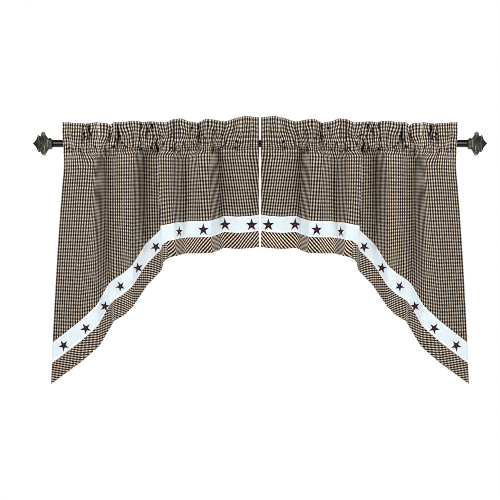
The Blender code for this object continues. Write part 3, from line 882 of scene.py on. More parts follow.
class Weaver:
    """Short hand for a material's nodes."""

    def __init__(self, name):
        self.material = bpy.data.materials.new(name)
        self.material.use_nodes = True
        self.tree = self.material.node_tree
        self.shader = self.tree.nodes["Principled BSDF"]

    def node(self, kind, inputs=None, **settings):
        """Add a node, set its options and feed its inputs with numbers or outputs."""
        made = self.tree.nodes.new(kind)
        for key, value in settings.items():
            setattr(made, key, value)
        for key, value in (inputs or {}).items():
            self.feed(made.inputs[key], value)
        return made

    def feed(self, socket, value):
        """Link an output to a socket or set the socket's value."""
        if isinstance(value, bpy.types.NodeSocket):
            self.tree.links.new(value, socket)
        else:
            socket.default_value = value

    def math(self, operation, first, second=0.0, clamp=False):
        """One step of arithmetic."""
        inputs = {0: first, 1: second}
        made = self.node("ShaderNodeMath", inputs, operation=operation, use_clamp=clamp)
        return made.outputs[0]

    def times(self, first, second):
        """Product of two numbers."""
        return self.math("MULTIPLY", first, second)

    def plus(self, first, second, clamp=False):
        """Sum of two numbers."""
        return self.math("ADD", first, second, clamp)

    def less(self, first, second):
        """Difference of two numbers."""
        return self.math("SUBTRACT", first, second)

    def remap(self, value, low, high, to_low, to_high):
        """Carry a value from one range to another, and hold it inside that one."""
        made = self.node("ShaderNodeMapRange", {0: value, 1: low, 2: high, 3: to_low, 4: to_high})
        return made.outputs[0]

    def between(self, share, first, second):
        """A number that goes from the first to the second as the share goes to 1."""
        return self.node("ShaderNodeMix", {0: share, 2: first, 3: second}).outputs[0]

    def blend(self, share, first, second, kind="MIX"):
        """Mix two colours, given as outputs or as three numbers."""
        made = self.node("ShaderNodeMix", data_type="RGBA", blend_type=kind)
        for key, value in ((0, share), (6, first), (7, second)):
            plain = key and not isinstance(value, bpy.types.NodeSocket)
            self.feed(made.inputs[key], (*value, 1.0) if plain else value)
        return made.outputs[2]

    def toned(self, colour, tone):
        """A colour made lighter or darker."""
        grey = self.node("ShaderNodeCombineColor", {0: tone, 1: tone, 2: tone}).outputs[0]
        return self.blend(1.0, colour, grey, "MULTIPLY")

    def noise(self, vector, scale, detail=2.0, rough=0.5):
        """Noise of a given scale, from 0 to 1."""
        inputs = {"Vector": vector, "Scale": scale, "Detail": detail, "Roughness": rough}
        return self.node("ShaderNodeTexNoise", inputs).outputs[0]

    def slub(self, u, v, across, down):
        """Thick and thin places along a yarn: noise drawn out one way."""
        place = {0: self.times(u, across), 1: self.times(v, down)}
        return self.noise(self.node("ShaderNodeCombineXYZ", place).outputs[0], 1.0)

    def marked(self, name):
        """A number that the mesh carries for each of its points."""
        return self.node("ShaderNodeAttribute", attribute_name=name).outputs[2]

    def solid_place(self):
        """Place in the object, in metres."""
        return self.node("ShaderNodeTexCoord").outputs["Object"]

    def flat_cloth(self):
        """Place on the flat cloth and its two directions, in metres."""
        place = self.node("ShaderNodeUVMap", uv_map="flat_cloth").outputs[0]
        split = self.node("ShaderNodeSeparateXYZ", {0: place})
        return place, split.outputs[0], split.outputs[1]

    def stripe(self, place, pitch, softness, share):
        """1 on the middle share of every pitch and 0 on the rest, with soft sides."""
        turn = self.math("FRACT", self.math("DIVIDE", place, pitch))
        wave = self.less(share / 2.0, self.math("ABSOLUTE", self.less(turn, 0.5)))
        return self.plus(self.times(wave, pitch / softness), 0.5, clamp=True)

    def threads(self, along, across, pitch):
        """Plain weave: the height of the yarns, and how far the warp is on top."""
        one = self.math("SINE", self.times(along, math.pi / pitch))
        two = self.math("SINE", self.times(across, math.pi / pitch))
        up = self.plus(self.times(self.times(one, two), 0.5), 0.5)
        warp = self.times(self.math("ABSOLUTE", one), up)
        weft = self.times(self.math("ABSOLUTE", two), self.less(1.0, up))
        return self.math("MAXIMUM", warp, weft), up

    def finish(self, colour, roughness, bump, depth, **sockets):
        """Wire colour, roughness and bump into the shader and set its other sockets."""
        self.feed(self.shader.inputs["Base Color"], colour)
        self.feed(self.shader.inputs["Roughness"], roughness)
        if bump is not None:
            inputs = {"Height": bump, "Strength": 1.0, "Distance": depth}
            self.feed(self.shader.inputs["Normal"], self.node("ShaderNodeBump", inputs).outputs[0])
        for key, value in sockets.items():
            self.shader.inputs[key.replace("_", " ")].default_value = value
        return self.material


def check_cotton(name, sizes, colours, fade, balance, hanging_tone):
    """Homespun check: dark and light yarns in turn both ways, a plain weave on top
    of them, slubs along each yarn, a slow fading over the cloth, and painted shade deep in the
    tucks and creases.

    fade: how far the tone wanders; balance: how much the weft lies on top, in the
    hanging part and in the gathers; washed: tone of the hanging part, the gathers' is 1.
    """
    w = Weaver(name)
    place, u, v = w.flat_cloth()
    drift = w.times(w.less(w.noise(place, 14.0, 1.0), 0.5), YARN_DRIFT)
    u = w.plus(u, drift)
    v = w.less(v, drift)
    warp = w.stripe(u, sizes.check_across, sizes.check_softness, sizes.dark_share)
    weft = w.stripe(v, sizes.check_down, sizes.check_softness, sizes.dark_share)
    height, up = w.threads(u, v, sizes.thread_pitch)
    edge = w.times(w.less(warp, weft), 0.20)
    cover = w.plus(w.less(up, w.remap(v, *GATHERS_BEGIN, *balance)), edge)
    top = w.plus(w.times(cover, 1.9), 0.5, clamp=True)
    dark = w.between(top, weft, warp)
    slub = w.between(top, w.slub(u, v, 60.0, 1400.0), w.slub(u, v, 1400.0, 60.0))
    colour = w.blend(dark, colours.light_yarn, colours.dark_yarn)
    either = w.less(w.plus(warp, weft), w.times(w.times(warp, weft), 2.0))
    colour = w.blend(either, colour, colours.crossing_tint, "MULTIPLY")
    tone = w.remap(slub, 0.25, 0.75, 0.90, 1.09)
    worn = w.remap(w.noise(place, 9.0, 3.0), 0.2, 0.8, 1.0 - fade, 1.0 + fade)
    # Painted shade: the cloth goes almost black deep in the tucks and creases of the gathers
    crease_shade = w.remap(w.marked("crease_shade"), 0.12, 0.60, 1.0, 0.05)
    # The hanging part is darker than the gathers by a set tone
    tone_by_height = w.remap(v, *GATHERS_BEGIN, hanging_tone, 1.0)
    colour = w.toned(colour, w.times(w.times(tone, worn), w.times(crease_shade, tone_by_height)))
    bump = w.plus(w.times(height, 0.75), w.times(slub, 0.5))
    return w.finish(
        colour, 0.93, bump, FINE_RELIEF,
        Specular_IOR_Level=0.06, Sheen_Weight=0.025, Sheen_Roughness=0.5,
        Sheen_Tint=(0.82, 0.76, 0.70, 1.0),
    )


def band_cotton(name, sizes, colours):
    """White band: a fine plain weave with slubs and faint soft creases, whiter along
    its two seams."""
    w = Weaver(name)
    place, u, v = w.flat_cloth()
    height = w.threads(u, v, sizes.thread_pitch * 0.8)[0]
    soft = w.noise(place, 70.0, 3.0)
    tone = w.plus(w.times(w.slub(u, v, 90.0, 1500.0), 0.55), w.times(soft, 0.45))
    colour = w.blend(tone, tinted(colours.band_cotton, 0.94), colours.band_cotton)
    colour = w.blend(w.marked("at_seam"), colour, colours.band_edge)
    bump = w.plus(w.times(height, 0.5), w.times(soft, 1.4))
    return w.finish(
        colour, 0.9, bump, COARSE_RELIEF,
        Specular_IOR_Level=0.2, Sheen_Weight=0.15, Sheen_Roughness=0.5,
    )


def star_thread(name, colours):
    """Embroidered star: rows of satin stitches, with a painted highlight where the points meet,
    for the sheen of the stitches there.
    """
    w = Weaver(name)
    place, u, v = w.flat_cloth()
    rows = w.math("SINE", w.times(w.plus(u, w.times(v, 0.25)), 9000.0))
    rows = w.plus(w.times(rows, 0.5), 0.5)
    # Painted highlight: the colour goes paler towards the star's middle
    middle = w.remap(w.marked("from_middle"), 0.02, 0.42, 1.0, 0.0)
    colour = w.blend(w.times(middle, 0.75), colours.star_thread, colours.star_highlight)
    colour = w.toned(colour, w.remap(w.noise(place, 1600.0, 2.0), 0.3, 0.7, 0.7, 1.3))
    return w.finish(colour, 0.62, rows, COARSE_RELIEF, Specular_IOR_Level=0.16)


def thread_cotton(name, colour):
    """Sewing thread: a fine fuzz in its tone and relief, a little glossy."""
    w = Weaver(name)
    fuzz = w.noise(w.solid_place(), 900.0, 1.0)
    shade = w.blend(fuzz, tinted(colour, 0.7), colour)
    return w.finish(shade, 0.6, fuzz, FINE_RELIEF, Specular_IOR_Level=0.4)


def metal_paint(name, colour, patina, roughness, speckle, metallic, wear=None):
    """Painted metal: fine speckle, cloudy patina and rubbed edges."""
    w = Weaver(name)
    place = w.solid_place()
    cloud = w.noise(place, 38.0, 4.0, 0.6)
    fine = w.noise(place, 700.0, 2.0, 0.6)
    shade = w.blend(w.remap(cloud, 0.32, 0.68, 0.0, 1.0), colour, patina)
    shade = w.toned(shade, w.remap(fine, 0.35, 0.7, 1.0 - speckle, 1.0 + speckle))
    if wear is not None:
        edge = w.math("MULTIPLY", w.marked("rubbed"), w.plus(cloud, 0.35), clamp=True)
        shade = w.blend(edge, shade, wear)
    rough = w.remap(fine, 0.3, 0.7, roughness - 0.06, roughness + 0.10)
    return w.finish(shade, rough, fine, COARSE_RELIEF, Metallic=metallic)


# ---------------------------------------------------------------- settings


class ValanceSizes(bpy.types.PropertyGroup):
    """Sizes that a user may change."""

    check_across: FloatProperty(
        name="Check across", description="Pitch of the warp stripes",
        default=0.0090, unit="LENGTH",
    )
    check_down: FloatProperty(
        name="Check down", description="Pitch of the weft stripes",
        default=0.0120, unit="LENGTH",
    )
    dark_share: FloatProperty(
        name="Dark share", description="Share of each pitch that is dark yarn",
        default=0.57, min=0.1, max=0.9, subtype="FACTOR",
    )
    check_softness: FloatProperty(
        name="Stripe side", description="Width over which a stripe's side fades",
        default=0.0005, unit="LENGTH",
    )
    thread_pitch: FloatProperty(
        name="Thread pitch", description="Distance from yarn to yarn",
        default=0.00075, unit="LENGTH",
    )
    sheet: FloatProperty(
        name="Cloth thickness", description="Thickness of one layer",
        default=0.0009, unit="LENGTH",
    )
    column_step: FloatProperty(
        name="Column step", description="Distance between the bands' grid columns",
        default=0.0031, unit="LENGTH",
    )
    star_width: FloatProperty(
        name="Star width", description="Diameter of the circle round a star",
        default=0.0425, unit="LENGTH",
    )
    star_inner: FloatProperty(
        name="Star waist", description="Inner radius as a share of the outer one", default=0.37
    )
    stitch_length: FloatProperty(
        name="Stitch length", description="Length of one stitch on top",
        default=0.0030, unit="LENGTH",
    )
    stitch_pitch: FloatProperty(
        name="Stitch pitch", description="Distance from stitch to stitch",
        default=0.0042, unit="LENGTH",
    )
    thread_radius: FloatProperty(
        name="Thread radius", description="Radius of the sewing thread",
        default=0.00028, unit="LENGTH",
    )


class ValanceColours(bpy.types.PropertyGroup):
    """Colours that a user may change, as linear values."""

    dark_yarn: FloatVectorProperty(
        name="Dark yarn", description="Black yarn of the check",
        subtype="COLOR", size=3, default=(0.007, 0.004, 0.002),
    )
    light_yarn: FloatVectorProperty(
        name="Light yarn", description="Tan yarn of the check",
        subtype="COLOR", size=3, default=(0.80, 0.735, 0.665),
    )
    crossing_tint: FloatVectorProperty(
        name="Crossing tint", description="How the tan yarn looks where it crosses black yarn",
        subtype="COLOR", size=3, default=(0.84, 0.70, 0.57),
    )
    band_cotton: FloatVectorProperty(
        name="Band", description="White cotton of the star band",
        subtype="COLOR", size=3, default=(0.79, 0.875, 0.915),
    )
    band_edge: FloatVectorProperty(
        name="Band edge", description="White of the band along its seams",
        subtype="COLOR", size=3, default=(1.0, 1.0, 1.0),
    )
    star_thread: FloatVectorProperty(
        name="Star", description="Burgundy thread of the stars",
        subtype="COLOR", size=3, default=(0.018, 0.0050, 0.0085),
    )
    # Painted highlight: paler colour in the stars' middle, for the sheen of their satin stitches
    star_highlight: FloatVectorProperty(
        name="Star middle", description="Paler middle of the stars",
        subtype="COLOR", size=3, default=(0.105, 0.037, 0.046),
    )
    seam_thread: FloatVectorProperty(
        name="Seam thread", description="Thread on the checked cloth",
        subtype="COLOR", size=3, default=(0.16, 0.13, 0.10),
    )
    band_thread: FloatVectorProperty(
        name="Band thread", description="Thread on the star band",
        subtype="COLOR", size=3, default=(0.70, 0.74, 0.76),
    )
    rod_paint: FloatVectorProperty(
        name="Rod", description="Dark bronze paint of the rod",
        subtype="COLOR", size=3, default=(0.013, 0.007, 0.006),
    )
    finial_paint: FloatVectorProperty(
        name="Finial", description="Pewter paint of the finials",
        subtype="COLOR", size=3, default=(0.120, 0.118, 0.098),
    )
    floor: FloatVectorProperty(
        name="Floor", description="Pale studio floor",
        subtype="COLOR", size=3, default=(0.86, 0.86, 0.85),
    )


# ---------------------------------------------------------------- pieces

RUN_ANGLE = {"level": 0.0, "slanted": SLANT_ANGLE}

# Checked cloth: half the turn at the upper edge; lines across it from the flap behind
# to the seam; rows of its grid from one line to the next and below the seam; columns.
# Then the rows of a band or border, and the points at which the columns are weighed.
HALF_TURN = 0.004
CLOTH_LINES = (
    FLAP_V, BACK_SEAM_V, BACK_STITCH_V, TOP_V + HALF_TURN, TOP_V - HALF_TURN, STITCH_V, SEAM_LEVEL,
)
CLOTH_ROWS = (3, 12, 7, 8, 16, 27)
HANGING_ROWS = 43
CLOTH_COLUMNS = 430
STRIP_ROWS = 23
WEIGHT_SAMPLES = 4001


def columns_across(drape, count):
    """Places across the cloth, about twice as close at the creases as elsewhere: equal
    steps of the running sum of a weight that has a bump at every crease."""
    u = np.linspace(0.0, drape.width, WEIGHT_SAMPLES)
    weight = np.ones_like(u)
    for crease in drape.crease_u:
        weight = weight + 1.1 * bell(u - crease, 0.007)
    run = np.concatenate([[0.0], np.cumsum((weight[1:] + weight[:-1]) / 2.0)])
    return np.interp(np.linspace(0.0, run[-1], count), run, u)


def strip_grid(drape, line, run, step):
    """Grid of one length of band or border, cut off at the mitre.

    Its columns go from edge to mitre, or from mitre to edge, and its rows from the
    strip's top line down to its foot line. Gives each point's place on the flat cloth
    (u, v), its share of the way down and its place among the folds at the hem.
    """
    share = np.linspace(0.0, 1.0, STRIP_ROWS)[:, None]
    corner = np.interp(line + share, (0.0, 1.0, 2.0), MITRE_CUT)
    if run == "slanted":
        start, stop = 0.0, corner + MITRE_OVERLAP
    else:
        start, stop = corner, drape.width
    length = float(np.mean(stop - start))
    along = np.linspace(0.0, 1.0, int(length / step) + 2)[None, :]
    place = start + along * (stop - start)
    u = drape.thread_at(place)
    v = drape.line_level(u, line) * (1.0 - share) + drape.line_level(u, line + 1) * share
    return u, v, share + 0.0 * u, place


def turned_map(u, v, angle):
    """Flat cloth's coordinates in a cut turned by angle."""
    cosine, sine = math.cos(angle), math.sin(angle)
    return np.stack([u * cosine + v * sine, v * cosine - u * sine], axis=-1)


class VALANCE_OT_checked_cloth(bpy.types.Operator):
    """Hang the checked cloth of both panels, from the flap behind to the star band"""

    bl_idname = "valance.checked_cloth"
    bl_label = "Checked cloth"

    def execute(self, context):
        sizes = context.scene.valance_sizes
        drape = Drape()
        colours = context.scene.valance_colours
        cloth = check_cotton(
            "checked_cotton", sizes, colours, fade=0.06, balance=(0.325, 0.305), hanging_tone=0.87
        )
        u = columns_across(drape, CLOTH_COLUMNS)[None, :]
        zones = zip(CLOTH_LINES, CLOTH_LINES[1:], CLOTH_ROWS)
        above = [np.linspace(first, last, rows)[:-1] for first, last, rows in zones]
        above = np.concatenate([*above, [SEAM_LEVEL]])[:, None]
        share = (np.linspace(0.0, 1.0, HANGING_ROWS)[1:, None]) ** 1.4
        foot = drape.line_level(u, 0) - TURNED_UNDER
        hanging = SEAM_LEVEL + share * (foot - SEAM_LEVEL)
        v = np.concatenate([above + 0.0 * u, hanging])
        u = np.repeat(u, len(v), axis=0)
        under = smooth_step((drape.line_level(u, 0) + 0.002 - v) / 0.003)
        points = drape.point(u, v, -UNDER_DEPTH * under)
        leaning = GRAIN_LEAN * ease(u, 0.60, 0.37) * np.clip(SEAM_LEVEL - v, 0.0, None)
        flat = np.stack([u - leaning, v], axis=-1)
        # Painted shade of the tucks and creases, which the material darkens the cloth by
        crease_shade = drape.crease_shade(u, v)
        for side in SIDES:
            piece = cloth_sheet(f"checked_cloth_{side}", points, flat, side, cloth, sizes.sheet)
            mark(piece.data, "crease_shade", crease_shade)
            link(piece)
            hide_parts(f"cloth_{side}")
        return {"FINISHED"}


class VALANCE_OT_star_bands(bpy.types.Operator):
    """Lay the white bands over the foot of the checked cloth"""

    bl_idname = "valance.star_bands"
    bl_label = "Star bands"

    def execute(self, context):
        sizes = context.scene.valance_sizes
        drape = Drape()
        cotton = band_cotton("star_band_cotton", sizes, context.scene.valance_colours)
        for run in ("level", "slanted"):
            u, v, share, place = strip_grid(drape, 0, run, sizes.column_step)
            off = np.minimum(share, 1.0 - share) * BAND_WIDTH
            lift = BAND_LIFT * smooth_step(off / 0.0016)
            lift = lift - 0.0004 * bell(off - EDGE_STITCH_IN, 0.0011)
            points = drape.point(u, v, lift)
            at_seam = 1.0 - ease(off, 0.0030, 0.0045)
            flat = turned_map(place, v, RUN_ANGLE[run])
            for side in SIDES:
                name = f"white_band_{run}_{side}"
                piece = cloth_sheet(name, points, flat, side, cotton, sizes.sheet)
                mark(piece.data, "at_seam", at_seam)
                link(piece)
                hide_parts(f"star_band_{run}_{side}")
        return {"FINISHED"}


# Check in each length of border: its turn in degrees, how much finer it is, and how
# much the weft lies on top
BIAS_TURN = {"level": -41.5, "slanted": 83.5}
BIAS_SCALE = {"level": 1.0, "slanted": 1.10}
BIAS_BALANCE = {"level": 0.0, "slanted": 0.29}
# Towards the mitre the slanted border's threads are drawn down, more and more steeply
DRAWN_FROM = 0.395
DRAWN_OVER = 0.072
DRAWN_STEEPNESS = {"level": 0.0, "slanted": 0.38}


class VALANCE_OT_borders(bpy.types.Operator):
    """Sew the bias-cut check borders under the bands and turn up their hems"""

    bl_idname = "valance.borders"
    bl_label = "Bias borders"

    def execute(self, context):
        sizes = context.scene.valance_sizes
        colours = context.scene.valance_colours
        drape = Drape()
        for run in ("level", "slanted"):
            balance = (BIAS_BALANCE[run], BIAS_BALANCE[run])
            name = f"bias_checked_cotton_{run}"
            cloth = check_cotton(name, sizes, colours, fade=0.05, balance=balance, hanging_tone=1.0)
            u, v, share, place = strip_grid(drape, 1, run, sizes.column_step)
            v = v + TURNED_UNDER * (1.0 - smooth_step(share / 0.25))
            under = 1.0 - ease(share * BAND_WIDTH, 0.003, 0.004)
            hem = ease(share, 0.76, 0.03)
            groove = bell((1.0 - share) * BAND_WIDTH - HEM_STITCH_UP, 0.0012)
            points = drape.point(u, v, -UNDER_DEPTH * under + 0.0005 * hem - 0.0005 * groove)
            turn = math.radians(BIAS_TURN[run])
            drawn = np.clip((place - DRAWN_FROM) / DRAWN_OVER, 0.0, 1.0)
            drawn = DRAWN_STEEPNESS[run] * DRAWN_OVER * (drawn**3 - 0.5 * drawn**4)
            flat = BIAS_SCALE[run] * turned_map(place, v + drawn, turn)
            for side in SIDES:
                name = f"check_border_{run}_{side}"
                piece = cloth_sheet(name, points, flat, side, cloth, sizes.sheet)
                link(piece)
                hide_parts(f"bias_border_{run}_{side}")
        return {"FINISHED"}


# Stars: place across the flat cloth in mm, place down the band as a share of it, then
# width and height as shares of a full star's, and turn in degrees, as they hang
STARS = {
    "slanted": (
        (42.8, 0.577, 0.95, 1.00, -33),
        (124.2, 0.609, 0.97, 0.96, -31),
        (201.5, 0.672, 0.84, 0.94, 12),
        (269.6, 0.543, 0.84, 0.94, -30),
        (360.8, 0.552, 0.83, 0.96, -12),
        (447.2, 0.620, 0.92, 0.96, 36),
    ),
    "level": (
        (602.4, 0.584, 0.57, 0.98, 2),
        (724.0, 0.542, 0.99, 1.08, 0),
        (845.6, 0.535, 1.04, 1.08, -3),
        (944.2, 0.572, 1.07, 1.08, 0),
    ),
}
# Reach of a star across and up the flat cloth, over which the drape's slope is taken
STAR_REACH = (0.012, 0.009)
# Heights over the cloth of a star's outline, of its dome over that, and of its back
STAR_FOOT = 0.0011
STAR_DOME = 0.0005
STAR_BACK = 0.0004
# A star's grid: rings on its front and on its back, and steps round it
FRONT_RINGS = 10
BACK_RINGS = 5
STAR_STEPS = 60


def star_outline(angle, inner):
    """Radius of a five-pointed star with straight sides at an angle from a point:
    the line from an outer corner to the next inner corner, in polar form."""
    turn = np.mod(angle, 2.0 * math.pi / 5.0)
    turn = np.minimum(turn, 2.0 * math.pi / 5.0 - turn)
    half = math.pi / 5.0
    return inner * math.sin(half) / (inner * np.sin(half - turn) + np.sin(turn))


class VALANCE_OT_stars(bpy.types.Operator):
    """Embroider the stars on the bands, each a low dome of satin stitches"""

    bl_idname = "valance.stars"
    bl_label = "Stars"

    def execute(self, context):
        sizes = context.scene.valance_sizes
        drape = Drape()
        thread = star_thread("star_embroidery", context.scene.valance_colours)
        rings = np.linspace(0.0, 1.0, FRONT_RINGS), np.linspace(0.97, 0.0, BACK_RINGS)
        ring = np.concatenate(rings)[:, None]
        front = np.arange(len(ring))[:, None] < FRONT_RINGS
        angle = (np.arange(STAR_STEPS) * 2.0 * math.pi / STAR_STEPS)[None, :]
        radius = 0.5 * sizes.star_width * star_outline(angle, sizes.star_inner) * ring
        lift = np.where(front, STAR_FOOT + STAR_DOME * (1.0 - ring**3), STAR_BACK)
        for run in ("slanted", "level"):
            grids = []
            maps = []
            for place, down, wide, tall, turn in STARS[run]:
                middle_u = place * MM
                middle_v = float(drape.line_level(np.array(middle_u), down))
                across = radius * np.sin(angle)
                up = radius * np.cos(angle)
                lean = math.radians(turn)
                seen_right = wide * (across * math.cos(lean) + up * math.sin(lean))
                seen_up = tall * (up * math.cos(lean) - across * math.sin(lean))
                u, v = self.flat_offsets(drape, middle_u, middle_v, seen_right, seen_up)
                grids.append(drape.point(u, v, lift + 0.0 * u))
                maps.append(np.stack([across, up], axis=-1))
            for side in SIDES:
                piece = self.join(f"stars_{run}_{side}", grids, maps, ring, side, thread)
                link(piece)
        return {"FINISHED"}

    def flat_offsets(self, drape, u, v, seen_right, seen_up):
        """Places on the flat cloth for offsets as they hang: the slopes of the drape
        at (u, v), over a star's reach, give two equations for each point."""
        reach_u, reach_v = STAR_REACH
        ends = drape.surface(
            np.array([u + reach_u, u - reach_u, u, u]), np.array([v, v, v + reach_v, v - reach_v])
        )
        by_u = (ends[0] - ends[1]) / (2.0 * reach_u)
        by_v = (ends[2] - ends[3]) / (2.0 * reach_v)
        slopes = np.array([[by_u[0], by_v[0]], [by_u[2], by_v[2]]])
        du, dv = np.einsum("ij,j...->i...", np.linalg.inv(slopes), np.stack([seen_right, seen_up]))
        return u + du, v + dv

    def join(self, name, grids, maps, ring, side, material):
        """One mesh of a run's stars, closed at both poles."""
        rows, steps = grids[0].shape[:2]
        quads = grid_faces(rows, steps, wrap=True)
        faces = np.concatenate([quads + k * rows * steps for k in range(len(grids))])
        points = np.concatenate([grid.reshape(-1, 3) for grid in grids])
        uv = np.concatenate([flat.reshape(-1, 2) for flat in maps])
        mesh = fill_mesh(name, *mirrored(points, faces, side), uv)
        mark(mesh, "from_middle", np.tile(np.repeat(ring.ravel(), steps), len(grids)))
        close_poles(mesh)
        return as_piece(name, mesh, material)


# A stitch's stations: share of its length, thickness, and how far it is bowed out
STITCH_STATIONS = ((0.0, 0.35, -0.6), (0.18, 1.0, 0.55), (0.82, 1.0, 0.55), (1.0, 0.35, -0.6))


def stitch_mesh(name, starts, stops, out, radius, side, material):
    """Stitches as short rods of four sides with tapered ends.

    Each stitch runs from its start to its stop, bowed out along the cloth's normal;
    its section is a square ring carried along four stations.
    """
    along = stops - starts
    length = np.linalg.norm(along, axis=1, keepdims=True)
    tangent = along / np.maximum(length, 1e-9)
    cross = np.cross(tangent, out)
    cross = cross / np.maximum(np.linalg.norm(cross, axis=1, keepdims=True), 1e-9)
    angle = np.arange(4) * math.pi / 2 + math.pi / 4
    ring = np.cos(angle)[None, :, None] * out[:, None, :]
    ring = ring + np.sin(angle)[None, :, None] * cross[:, None, :]
    stations = []
    for share, size, bow in STITCH_STATIONS:
        middle = starts + along * share + out * radius * bow
        stations.append(middle[:, None, :] + ring * radius * size)
    points = np.stack(stations, axis=1).reshape(-1, 3)
    caps = np.array([[0, 1, 2, 3], [15, 14, 13, 12]])
    faces = np.concatenate([grid_faces(4, 4, wrap=True), caps])
    faces = (faces[None] + (np.arange(len(starts)) * 16)[:, None, None]).reshape(-1, 4)
    return as_piece(name, fill_mesh(name, *mirrored(points, faces, side)), material)


class VALANCE_OT_stitching(bpy.types.Operator):
    """Sew the lines of stitches: pocket, bands, hem and side hems"""

    bl_idname = "valance.stitching"
    bl_label = "Stitching"

    def execute(self, context):
        sizes = context.scene.valance_sizes
        colours = context.scene.valance_colours
        drape = Drape()
        dark = thread_cotton("seam_thread", colours.seam_thread)
        pale = thread_cotton("band_thread", colours.band_thread)
        across = np.arange(0.002, drape.width - 0.002, sizes.stitch_pitch)
        reach = sizes.stitch_length
        edge = EDGE_STITCH_IN / BAND_WIDTH
        hem = 2.0 - HEM_STITCH_UP / BAND_WIDTH
        levels = (SEAM_LEVEL, STITCH_V, BACK_STITCH_V, BACK_SEAM_V)
        seams = [self.level_line(drape, across, reach, level) for level in levels]
        seams.append(self.strip_line(drape, across, reach, hem, 0.0))
        outer, inner = SIDE_STITCH_IN, drape.width - SIDE_STITCH_IN
        for u, place in ((outer, outer), (inner, drape.width)):
            lowest = float(drape.line_level(np.array(place), 2))
            seams.append(self.side_line(drape, u, lowest, sizes))
        edges = (edge, 1.0 - edge)
        bands = [self.strip_line(drape, across, reach, line, BAND_LIFT) for line in edges]
        for side in SIDES:
            self.sew(f"seam_stitches_{side}", seams, sizes, side, dark)
            self.sew(f"band_stitches_{side}", bands, sizes, side, pale)
        return {"FINISHED"}

    def level_line(self, drape, across, reach, v):
        """Stitches along one thread of the weft."""
        height = np.full_like(across, v)
        return self.ends(drape, across, height, across + reach, height)

    def strip_line(self, drape, across, reach, line, lift):
        """Stitches along a line of the band or border."""
        slanted = across < MITRE_ACROSS_CLOTH + line * BAND_WIDTH * MITRE_LEAN
        step = np.where(slanted, reach * math.cos(SLANT_ANGLE), reach)
        first = drape.line_level(across, line)
        last = drape.line_level(across + step, line)
        return self.ends(drape, across, first, across + step, last, lift)

    def side_line(self, drape, u, lowest, sizes):
        """Stitches down a side hem."""
        v = np.arange(SEAM_LEVEL - 0.004, lowest + 0.004, -sizes.stitch_pitch)
        u = np.full_like(v, u)
        return self.ends(drape, u, v, u, v - sizes.stitch_length)

    def ends(self, drape, u0, v0, u1, v1, under=0.0):
        """Start, stop and outward direction of each stitch, on what lies under it."""
        lift = under + STITCH_LIFT
        start = drape.point(u0, v0, lift)
        stop = drape.point(u1, v1, lift)
        out = drape.point(u0, v0, lift + 0.001) - start
        return start, stop, out / np.linalg.norm(out, axis=1, keepdims=True)

    def sew(self, name, lines, sizes, side, material):
        """Join lines of stitches in one piece."""
        starts, stops, out = (np.concatenate([line[k] for line in lines]) for k in range(3))
        piece = stitch_mesh(name, starts, stops, out, sizes.thread_radius, side, material)
        link(piece)


class VALANCE_OT_rod(bpy.types.Operator):
    """Lay the round rod that carries both panels"""

    bl_idname = "valance.rod"
    bl_label = "Rod"

    def execute(self, context):
        paint = context.scene.valance_colours.rod_paint
        bronze = metal_paint(
            "dark_bronze", paint, tinted(paint, 1.9), roughness=0.15, speckle=0.30, metallic=0.75
        )
        end = ROD_HALF_LENGTH
        out = np.array([-end, -end, -end + 0.001, end - 0.001, end, end])
        radius = ROD_RADIUS * np.array([0.86, 0.95, 1.0, 1.0, 0.95, 0.86])
        piece = closed_loft("curtain_rod", turned(out, radius, TURNED_STEPS), bronze)
        link(piece)
        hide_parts("rod")
        return {"FINISHED"}


class VALANCE_OT_finials(bpy.types.Operator):
    """Fit a turned collar and a flared square cap to each end of the rod"""

    bl_idname = "valance.finials"
    bl_label = "Finials"

    def execute(self, context):
        paint = context.scene.valance_colours.finial_paint
        pewter = metal_paint(
            "pewter", paint, tinted(paint, 0.55), roughness=0.34, speckle=0.22, metallic=0.85,
            wear=tinted(paint, 1.7),
        )
        for side in SIDES:
            sign = 1.0 if side == "right" else -1.0
            collar = np.array(COLLAR_PROFILE) * MM
            out = sign * (ROD_HALF_LENGTH + collar[:, 0])
            rings = turned(out, collar[:, 1], TURNED_STEPS)
            piece = closed_loft(f"turned_collar_{side}", rings, pewter, 30.0)
            self.rub(piece, *COLLAR_RUBBED)
            link(piece)
            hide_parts(f"finial_collar_{side}")
            cap = closed_loft(f"square_cap_{side}", self.cap_rings(sign), pewter, 28.0)
            self.rub(cap, *CAP_RUBBED)
            link(cap)
            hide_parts(f"finial_cap_{side}")
        return {"FINISHED"}

    def cap_rings(self, sign):
        """Rings of the cap: the section |a|^p + |b|^p = r^p turned by 45 degrees, its
        power p chosen so that it is as far out at mid-side as the profile says."""
        table = np.array(CAP_PROFILE)
        corner_out, corner, side_out, mid = (table[:, k:k + 1] * MM for k in range(4))
        power = 1.0 / (0.5 - np.log2(mid / corner))
        t = np.arange(CAP_STEPS)[None, :] * 2.0 * math.pi / CAP_STEPS
        cosine, sine = np.cos(t).round(9), np.sin(t).round(9)
        a = np.sign(cosine) * np.abs(cosine) ** (2.0 / power)
        b = np.sign(sine) * np.abs(sine) ** (2.0 / power)
        reach = corner * np.hypot(a, b)
        share = np.clip((reach - mid) / np.maximum(corner - mid, 1e-9), 0.0, 1.0)
        out = side_out + (corner_out - side_out) * share ** 0.8
        y = corner * (a - b) / math.sqrt(2.0)
        z = corner * (a + b) / math.sqrt(2.0)
        x = sign * (ROD_HALF_LENGTH + CAP_START * MM + out)
        return np.stack([x, y, z], axis=-1)

    def rub(self, piece, low, high):
        """Mark how far each point stands out from the axis, for the rubbed edges."""
        mesh = piece.data
        co = np.empty(len(mesh.vertices) * 3, dtype=np.float32)
        mesh.vertices.foreach_get("co", co)
        co = co.reshape(-1, 3)
        out = np.hypot(co[:, 1], co[:, 2])
        mark(mesh, "rubbed", ease(out, low, high - low))


